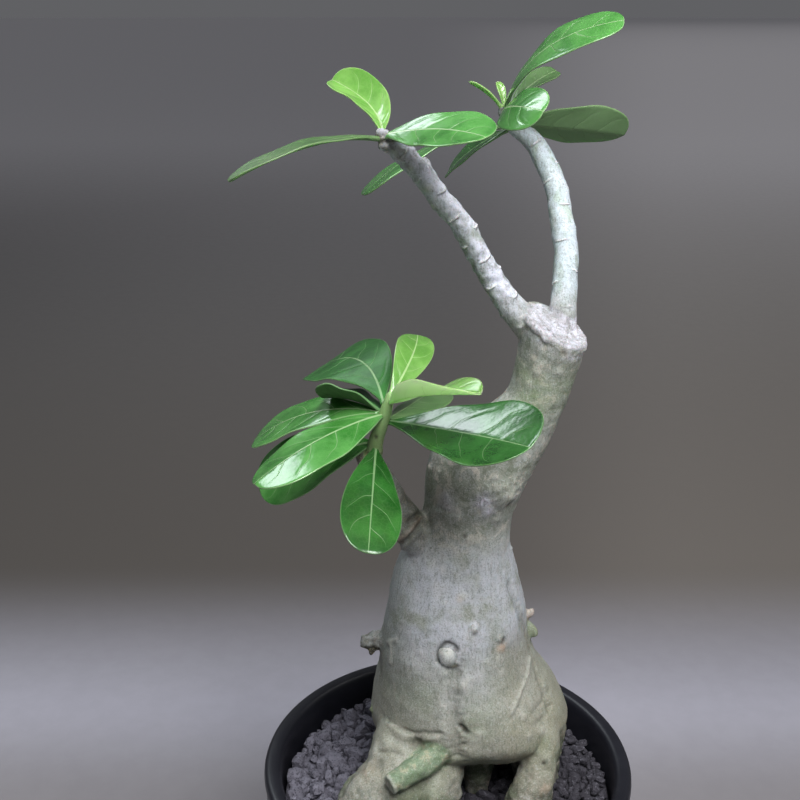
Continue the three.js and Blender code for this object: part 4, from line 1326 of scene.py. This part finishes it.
# Waves of the margin: height as a share of the width, rate, and lag between the two sides
WAVE_SHARE, WAVE_RATE, WAVE_LAG = 0.35 / 20, 15, 1.9


def leaf_blade(name, colour, base, heading, rise, length, width, bow, roll, twist, fold, sweep):
    """A closed leaf blade, with what its finish reads stored on its points."""
    chord, side, up = blade_frame(heading, rise, roll)
    fold = math.radians(fold)
    chance = np.random.default_rng(len(name) * 31 + int(heading))
    wave_at = chance.uniform(0, RANDOM_TURN)
    t_rows = LAST_ROW * (1 - (1 - np.linspace(0, 1, ALONG_STEPS)) ** TIP_CROWDING)
    s = np.sin(np.linspace(-math.pi / 2, math.pi / 2, ACROSS_STEPS + 1))
    s[ACROSS_STEPS // 2] = 0
    tops, unders, uv, rib_away, rim_away = [], [], [], [], []
    for t in t_rows:
        hump, slope = 4 * t * (1 - t) * length, 4 * (1 - 2 * t)
        middle = np.array(base) + chord * t * length + up * hump * bow + side * hump * sweep
        along = unit(chord + slope * (bow * up + sweep * side))
        right = unit(side - along * side.dot(along))
        normal = np.cross(right, along)
        turn = math.radians(twist) * (2 * t - 1)
        wide = right * math.cos(turn) + normal * math.sin(turn)
        face = normal * math.cos(turn) - right * math.sin(turn)
        half = max(spoon(t) * width / 2, min(STALK_HALF, width * 0.2) if t < STALK_SHARE else 0.05)
        stalk = max(0, 1 - t / STALK_SHARE)
        body = BLADE_RIB + (BLADE_EDGE - BLADE_RIB) * np.abs(s)
        body = body + (STALK_THICK - body) * stalk * (1 - np.abs(s) * 0.6)
        to_edge = (1 - np.abs(s)) * half
        rounded = np.sqrt(np.clip(1 - (1 - np.clip(to_edge / EDGE_ROUNDING, 0, 1)) ** 2, 0, 1))
        tip = np.clip((1 - t) * length / TIP_ROUNDING, 0.15, 1) ** 0.5
        thick = body * rounded * tip
        wave = np.sin(t * WAVE_RATE + wave_at + WAVE_LAG * (s > 0)) * math.sin(math.pi * t)
        lift = np.abs(s) * half * math.sin(fold) + WAVE_SHARE * width * np.abs(s) ** 3 * wave
        line = middle + np.outer(s * half * math.cos(fold), wide) + np.outer(lift, face)
        tops.append(line + np.outer(thick / 2, face))
        unders.append(line - np.outer(thick / 2, face))
        uv.append(np.stack([(s + 1) / 2, np.full(len(s), t)], 1))
        rib_away.append(np.abs(s) * half)
        rim_away.append(np.minimum(to_edge, (1 - t) * length * 0.8))
    return blade_piece(name, colour, tops, unders, uv, rib_away, rim_away)


def blade_faces(rows, columns):
    """Faces of a closed blade whose two faces share the points of their margins."""
    top = np.arange(rows * columns).reshape(rows, columns)
    inner = np.arange(rows * (columns - 2)).reshape(rows, columns - 2) + rows * columns
    under = np.hstack([top[:, :1], inner, top[:, -1:]])
    faces = []
    for i in range(rows - 1):
        for j in range(columns - 1):
            faces.append((top[i, j], top[i, j + 1], top[i + 1, j + 1], top[i + 1, j]))
            faces.append((under[i, j], under[i + 1, j], under[i + 1, j + 1], under[i, j + 1]))
    faces.append((*under[0], *top[0, -2:0:-1]))
    faces.append((*top[-1], *under[-1, -2:0:-1]))
    return [tuple(int(k) for k in face) for face in faces]


def both_faces(top, under):
    """Rows for the upper face, then those of the lower one without the margins that they share."""
    return np.concatenate([*top, *(row[1:-1] for row in under)])


def blade_piece(name, colour, tops, unders, uv, rib_away, rim_away):
    """Joins the two faces of a blade at their margins."""
    rows, columns = len(tops), len(tops[0])
    points = both_faces(tops, unders)
    piece = piece_from("blade_" + name, points, blade_faces(rows, columns), GREENS[colour])
    carry(piece.data, "from_rib", both_faces(rib_away, rib_away))
    carry(piece.data, "from_rim", both_faces(rim_away, rim_away))
    carry(piece.data, "below", np.arange(len(points)) >= rows * columns)
    flat_uv = both_faces(uv, uv)
    layer = piece.data.uv_layers.new(name="blade")
    for loop, spot in zip(piece.data.loops, layer.data):
        spot.uv = flat_uv[loop.vertex_index]
    return piece


print("blade helpers ready")

# %% The leaves
# Name, colour, base, heading, rise, length, width, bow, roll, twist, fold, sweep
LEAVES = [
    ("low_rear_left", "satin", (-25, -22, 291.5), 120, -5, 57, 29, 0.11, 26, -3, 0, 0.16),
    ("low_upright", "fresh", (-23.6, -23.4, 293.4), 71, 24, 35.5, 14, 0.14, -29, 16, 0, 0.03),
    ("low_folded", "pale", (-23.2, -24, 292.6), 311.5, 18.5, 46.5, 17.5, 0.01, 23, -34, 27, 0.1),
    ("low_right", "deep", (-24, -22.4, 285), 316, 7, 63, 33, -0.04, -21, -5, 11, -0.06),
    ("low_hanging", "deep", (-28, -22, 275.6), 268, -22, 49, 21, 0.04, 19, 0, 4, 0.01),
    ("low_front_left", "mid", (-24.9, -23.8, 288), 218.5, -12.5, 54, 25, 0.08, 5, -17, -9, -0.02),
    ("low_left", "mid", (-26.5, -23, 288.5), 157, -20, 54, 22.5, 0.09, 17, 0, 1, 0.04),
    ("low_shaded", "satin", (-25.1, -22.5, 288), 157.5, 7.2, 24.5, 30, 0.09, -22.5, 3.3, 14, 0.02),
    ("low_under", "mid", (-28, -21.5, 277), 163, -27, 51, 26, 0.02, 44, 3, 0, 0.05),
    ("low_rear_right", "dull", (-24.6, -21.6, 284.6), 65.5, -2.5, 48, 19.5, 0.01, 7.5, 0, -16, 0.02),
    ("left_long", "dull", (-25.6, -11.6, 380.2), 214.5, -9.5, 56.5, 19.5, 0.08, -5, -9, 6.5, -0.07),
    ("left_upright", "fresh", (-25.4, -12, 381.6), 121, 24, 38, 17.5, -0.02, 11, 10, 30, 0.13),
    ("left_inner", "mid", (-24.6, -12, 381), 311.5, 4, 46.5, 21, 0.03, -31, 15, 4, -0.04),
    ("right_tall", "mid", (19.4, 37, 385.3), 321.5, 34, 56, 22, 0.17, -35, -1, 0, 0.04),
    ("right_pale", "dull", (20, 39.5, 384.6), 32, 30.5, 27, 10.5, 0.08, -11, -15, 14, 0.01),
    ("right_round", "mid", (19, 36, 383.2), 283, 7, 42, 18, 0.12, -52, 0, -6, 0.02),
    ("right_broad", "dull", (22.5, 41, 380), 27, -7, 53, 22.5, 0.01, 47, -8, 15, 0),
    ("right_rear", "deep", (21, 39.5, 378), 132, -31, 37, 14.5, 0.05, 38, 2, 7, -0.02),
    ("right_reaching", "mid", (19.8, 37, 379.5), 199, -22, 60, 23, 0.08, -8, 1, 0, 0),
    ("right_bud_long", "fresh", (19, 37.5, 385), 190, 38, 17, 4, 0.06, 0, 0, 25, 0),
    ("right_bud_short", "fresh", (19, 37.6, 385.8), 120, 62, 10.5, 4, 0.06, 0, 0, 25, 0),
]
YOUNG = ("low_upright", "low_folded", "left_upright", "right_pale", "right_bud_long", "right_bud_short")
for name, *shape in LEAVES:
    blade = leaf_blade(name, *shape)
    declare(blade, "young_leaf" if name in YOUNG else "leaf", "leaf_" + name)
print("leaves:", len(LEAVES), "faces each:", len(blade.data.polygons))

# %% [markdown]
# ## Grit finish
# The pot is filled with crushed lava: violet-grey, full of tiny holes that get painted shade, and
# dusty in patches, with a few tan and pale stones among the rest. Each stone carries its own
# tone. The stones on the left get painted light, which makes them paler and a little lilac.

# %% Grit finish
paint = Finish("lava_grit")
tone = paint.attribute("tone")
rough = paint.noise(1.6, 5, 0.7)
# The tiny holes get painted shade
holes = paint.step(paint.cells(0.9), 0.4, 0.2)
# Painted light on the stones on the left
lit_left = paint.step(paint.parts(paint.place)[0], 18, -32)
shade = paint.coats(
    paint.mix(tone, rgb(62, 60, 67), rgb(112, 109, 121)),
    # painted light on the left
    (lit_left * 0.42, rgb(158, 156, 172)),
    (paint.step(tone, 0.9, 0.92), rgb(150, 138, 126)),
    (paint.step(tone, 0.96, 0.97), rgb(186, 186, 204)),
    (paint.step(rough, 0.5, 0.75) * 0.5, rgb(150, 149, 160)),
    # painted shade in the holes
    (holes * 0.55, rgb(38, 37, 44)),
)
lava = paint.finish(
    {
        "Base Color": shade,
        "Roughness": 0.82 + rough * 0.16,
        "Normal": paint.relief(rough - holes * 0.5, 0.5),
    },
    {"Specular IOR Level": 0.3},
)
print("lava has", len(lava.node_tree.nodes), "nodes")

# %% [markdown]
# ## Bed of grit
# Under the loose stones lies the filling: a plug that follows the inside of the pot, with an
# uneven top. It is never seen by itself, only in the gaps between stones.

# %% Bed
BED_TOP, BED_RIM, BED_STEPS = 115.6, 66.9, 90
BED_SIDE = [(52.0, 3.0), (52.9, 6.0), (66.3, 108), (BED_RIM, BED_TOP - 2), (BED_RIM - 1, BED_TOP)]
BED_RINGS = (58, 48, 38, 28, 18, 8)
BUMP_SIZE, BUMP_HEIGHT, BED_TONE = 7, 1.2, 0.05

bed = turned("grit_bed", BED_SIDE + [(radius, BED_TOP) for radius in BED_RINGS], BED_STEPS, lava)
bed_points = np.array([v.co for v in bed.data.vertices]) / MM
bumps = np.array([noise.noise(Vector(p) / BUMP_SIZE) for p in bed_points.tolist()])
bed_points[:, 2] += np.where(bed_points[:, 2] > BED_TOP - 1, bumps * BUMP_HEIGHT, 0)
bed.data.vertices.foreach_set("co", (bed_points * MM).ravel())
carry(bed.data, "tone", np.full(len(bed_points), BED_TONE))
declare(bed, "grit", "grit")
print("bed points:", len(bed_points))

# %% [markdown]
# ## Loose stones
# Fourteen hundred stones are too many to place by hand. Geometry Nodes scatter points over a
# disc no closer than a set spacing, drop those that fall inside the plant, put a small lumpy
# block on each with its own turn and size, and break every block's faces a little differently.
# The sizes are inputs of the tree, so one tree lays the large stones, the small ones and chips.

# %% Points clear of the plant
CLEARANCE = 0.3


def vector_maths(tree, operation, a, b):
    """A sum on two vectors."""
    return tree.add("ShaderNodeVectorMath", {"operation": operation}, {0: a, 1: b})


def clear_points(tree, ground, plant_in, spacing, seed):
    """Points over the ground, no closer than the spacing, less those that the plant covers."""
    points = tree.add(
        "GeometryNodeDistributePointsOnFaces", {"distribute_method": "POISSON"},
        {"Mesh": ground, "Distance Min": spacing, "Density Max": 1e6, "Seed": seed},
    )
    body = tree.add(
        "GeometryNodeObjectInfo", {"transform_space": "ORIGINAL"}, {"Object": plant_in}, "Geometry"
    )
    nearest = tree.add("GeometryNodeProximity", {"target_element": "FACES"}, {0: body}, "Position")
    skin_normal = tree.add(
        "GeometryNodeSampleNearestSurface", {"data_type": "FLOAT_VECTOR"},
        {"Mesh": body, "Value": tree.add("GeometryNodeInputNormal")},
    )
    away = vector_maths(tree, "SUBTRACT", tree.add("GeometryNodeInputPosition"), nearest)
    outside = tree.add(
        "ShaderNodeVectorMath", {"operation": "DOT_PRODUCT"}, {0: away, 1: skin_normal}, "Value"
    )
    covered = tree.add(
        "FunctionNodeCompare", {"operation": "LESS_THAN"}, {"A": outside, "B": CLEARANCE * MM}
    )
    return tree.add("GeometryNodeDeleteGeometry", {"domain": "POINT"}, {0: points, "Selection": covered})


print("point helper ready")

# %% Stone shape
# How far a block turns into a ball, and its least and greatest extent as shares of the size
ROUNDING, NARROWEST, WIDEST = 0.66, (0.62, 0.5, 0.42), (1.1, 0.9, 0.75)
# The noise that breaks it: waves over the stone's size, and depth as a share of that size
KNOCK_SIZE, KNOCK_DEPTH = 0.55, 0.55


def rounded_block(tree):
    """A cube of 3 points a side, drawn most of the way to a ball."""
    block = tree.add("GeometryNodeMeshCube", None, {"Size": (2, 2, 2), 1: 3, 2: 3, 3: 3}, "Mesh")
    corner = tree.add("GeometryNodeInputPosition")
    ball = tree.add("ShaderNodeVectorMath", {"operation": "NORMALIZE"}, {0: corner})
    blend = tree.add("ShaderNodeMix", {"data_type": "VECTOR"}, {0: ROUNDING, 4: corner, 5: ball}, out=1)
    return tree.add("GeometryNodeSetPosition", None, {0: block, "Position": blend})


def broken(tree, stones, size):
    """The stones with every point knocked out of place by noise, and flat faces."""
    at = tree.add("GeometryNodeInputPosition")
    values = {"Vector": at, "Scale": KNOCK_SIZE / size, "Detail": 2.0}
    lumps = tree.add("ShaderNodeTexNoise", None, values, "Color")
    centred = vector_maths(tree, "SUBTRACT", lumps, (0.5, 0.5, 0.5))
    knock = tree.add("ShaderNodeVectorMath", {"operation": "SCALE"}, {0: centred, 3: size * KNOCK_DEPTH})
    stones = tree.add("GeometryNodeSetPosition", None, {0: stones, "Offset": knock})
    return tree.add("GeometryNodeSetShadeSmooth", None, {0: stones, "Shade Smooth": False})


print("stone helpers ready")

# %% Stone tree
INPUTS = {"Ground": "Geometry", "Plant": "Object", "Spacing": "Float", "Stone size": "Float"}
INPUTS |= {"Seed": "Int", "Finish": "Material"}


def stone_tree():
    """Stones scattered over the piece's own faces, clear of the plant."""
    group = bpy.data.node_groups.new("scatter_stones", "GeometryNodeTree")
    group.interface.new_socket("Geometry", in_out="OUTPUT", socket_type="NodeSocketGeometry")
    for name, kind in INPUTS.items():
        group.interface.new_socket(name, in_out="INPUT", socket_type="NodeSocket" + kind)
    tree = Tree(group)
    given = group.nodes.new("NodeGroupInput").outputs[: len(INPUTS)]
    ground, plant_in, spacing, size, seed, finish = (Wire(tree, socket) for socket in given)

    def chance(kind, low, high, salt):
        """A value of its own for every stone."""
        values = {"Min": low, "Max": high, "Seed": seed * 7 + salt}
        return tree.add("FunctionNodeRandomValue", {"data_type": kind}, values)

    points = clear_points(tree, ground, plant_in, spacing, seed)
    points = tree.add(
        "GeometryNodeStoreNamedAttribute", {"data_type": "FLOAT"},
        {0: points, "Name": "tone", "Value": chance("FLOAT", 0.0, 1.0, 1)},
    )
    turn = chance("FLOAT_VECTOR", (0, 0, 0), (RANDOM_TURN,) * 3, 2)
    shape = chance("FLOAT_VECTOR", NARROWEST, WIDEST, 3)
    grown = tree.add("ShaderNodeVectorMath", {"operation": "SCALE"}, {0: shape, 3: size * 0.5})
    stones = tree.add(
        "GeometryNodeInstanceOnPoints", None,
        {"Points": points, "Instance": rounded_block(tree), "Rotation": turn, "Scale": grown},
    )
    stones = broken(tree, tree.add("GeometryNodeRealizeInstances", None, {0: stones}), size)
    stones = tree.add("GeometryNodeSetMaterial", None, {0: stones, "Material": finish})
    group.links.new(stones.socket, group.nodes.new("NodeGroupOutput").inputs[0])
    return group


scatter = stone_tree()
print("stone tree has", len(scatter.nodes), "nodes")

# %% Lay the stones
# Name, height of the layer, its middle in x, its radius, spacing, stone size (mm), seed
LAYERS = [
    ("chips", 117.0, 0, 64.5, 2.6, 3.4, 5),
    ("small_stones", 117.9, 0, 64, 4.2, 5.4, 2),
    ("large_stones", 119.2, -14, 49, 7.2, 8.4, 9),
]
DISC_STEPS = 64
sockets = {s.name: s.identifier for s in scatter.interface.items_tree if s.in_out == "INPUT"}
for name, level, middle, reach, spacing, size, seed in LAYERS:
    disc = circle(reach, level, DISC_STEPS, middle)
    layer = piece_from(name, disc, [tuple(range(DISC_STEPS))], lava)
    maker = layer.modifiers.new("scatter", "NODES")
    maker.node_group = scatter
    given = {"Plant": skin_pieces["skin_roots"], "Spacing": spacing * MM, "Stone size": size * MM}
    given |= {"Seed": seed, "Finish": lava}
    for key, value in given.items():
        maker[sockets[key]] = value
    settle(layer)
    declare(layer, "grit", "grit")
    print(name, "faces:", len(layer.data.polygons))

# %% [markdown]
# ## Last look
# The finished pieces have to fill the same box as the solids, so both boxes are kept.

# %% Sizes and the end
DRESSED_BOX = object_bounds()
boxes = {"solids": CAD_BOX, "dressed": DRESSED_BOX}
boxes = {name: [[float(c) for c in corner] for corner in box] for name, box in boxes.items()}
print("dressed box in mm:", [[round(c / MM, 1) for c in corner] for corner in boxes["dressed"]])
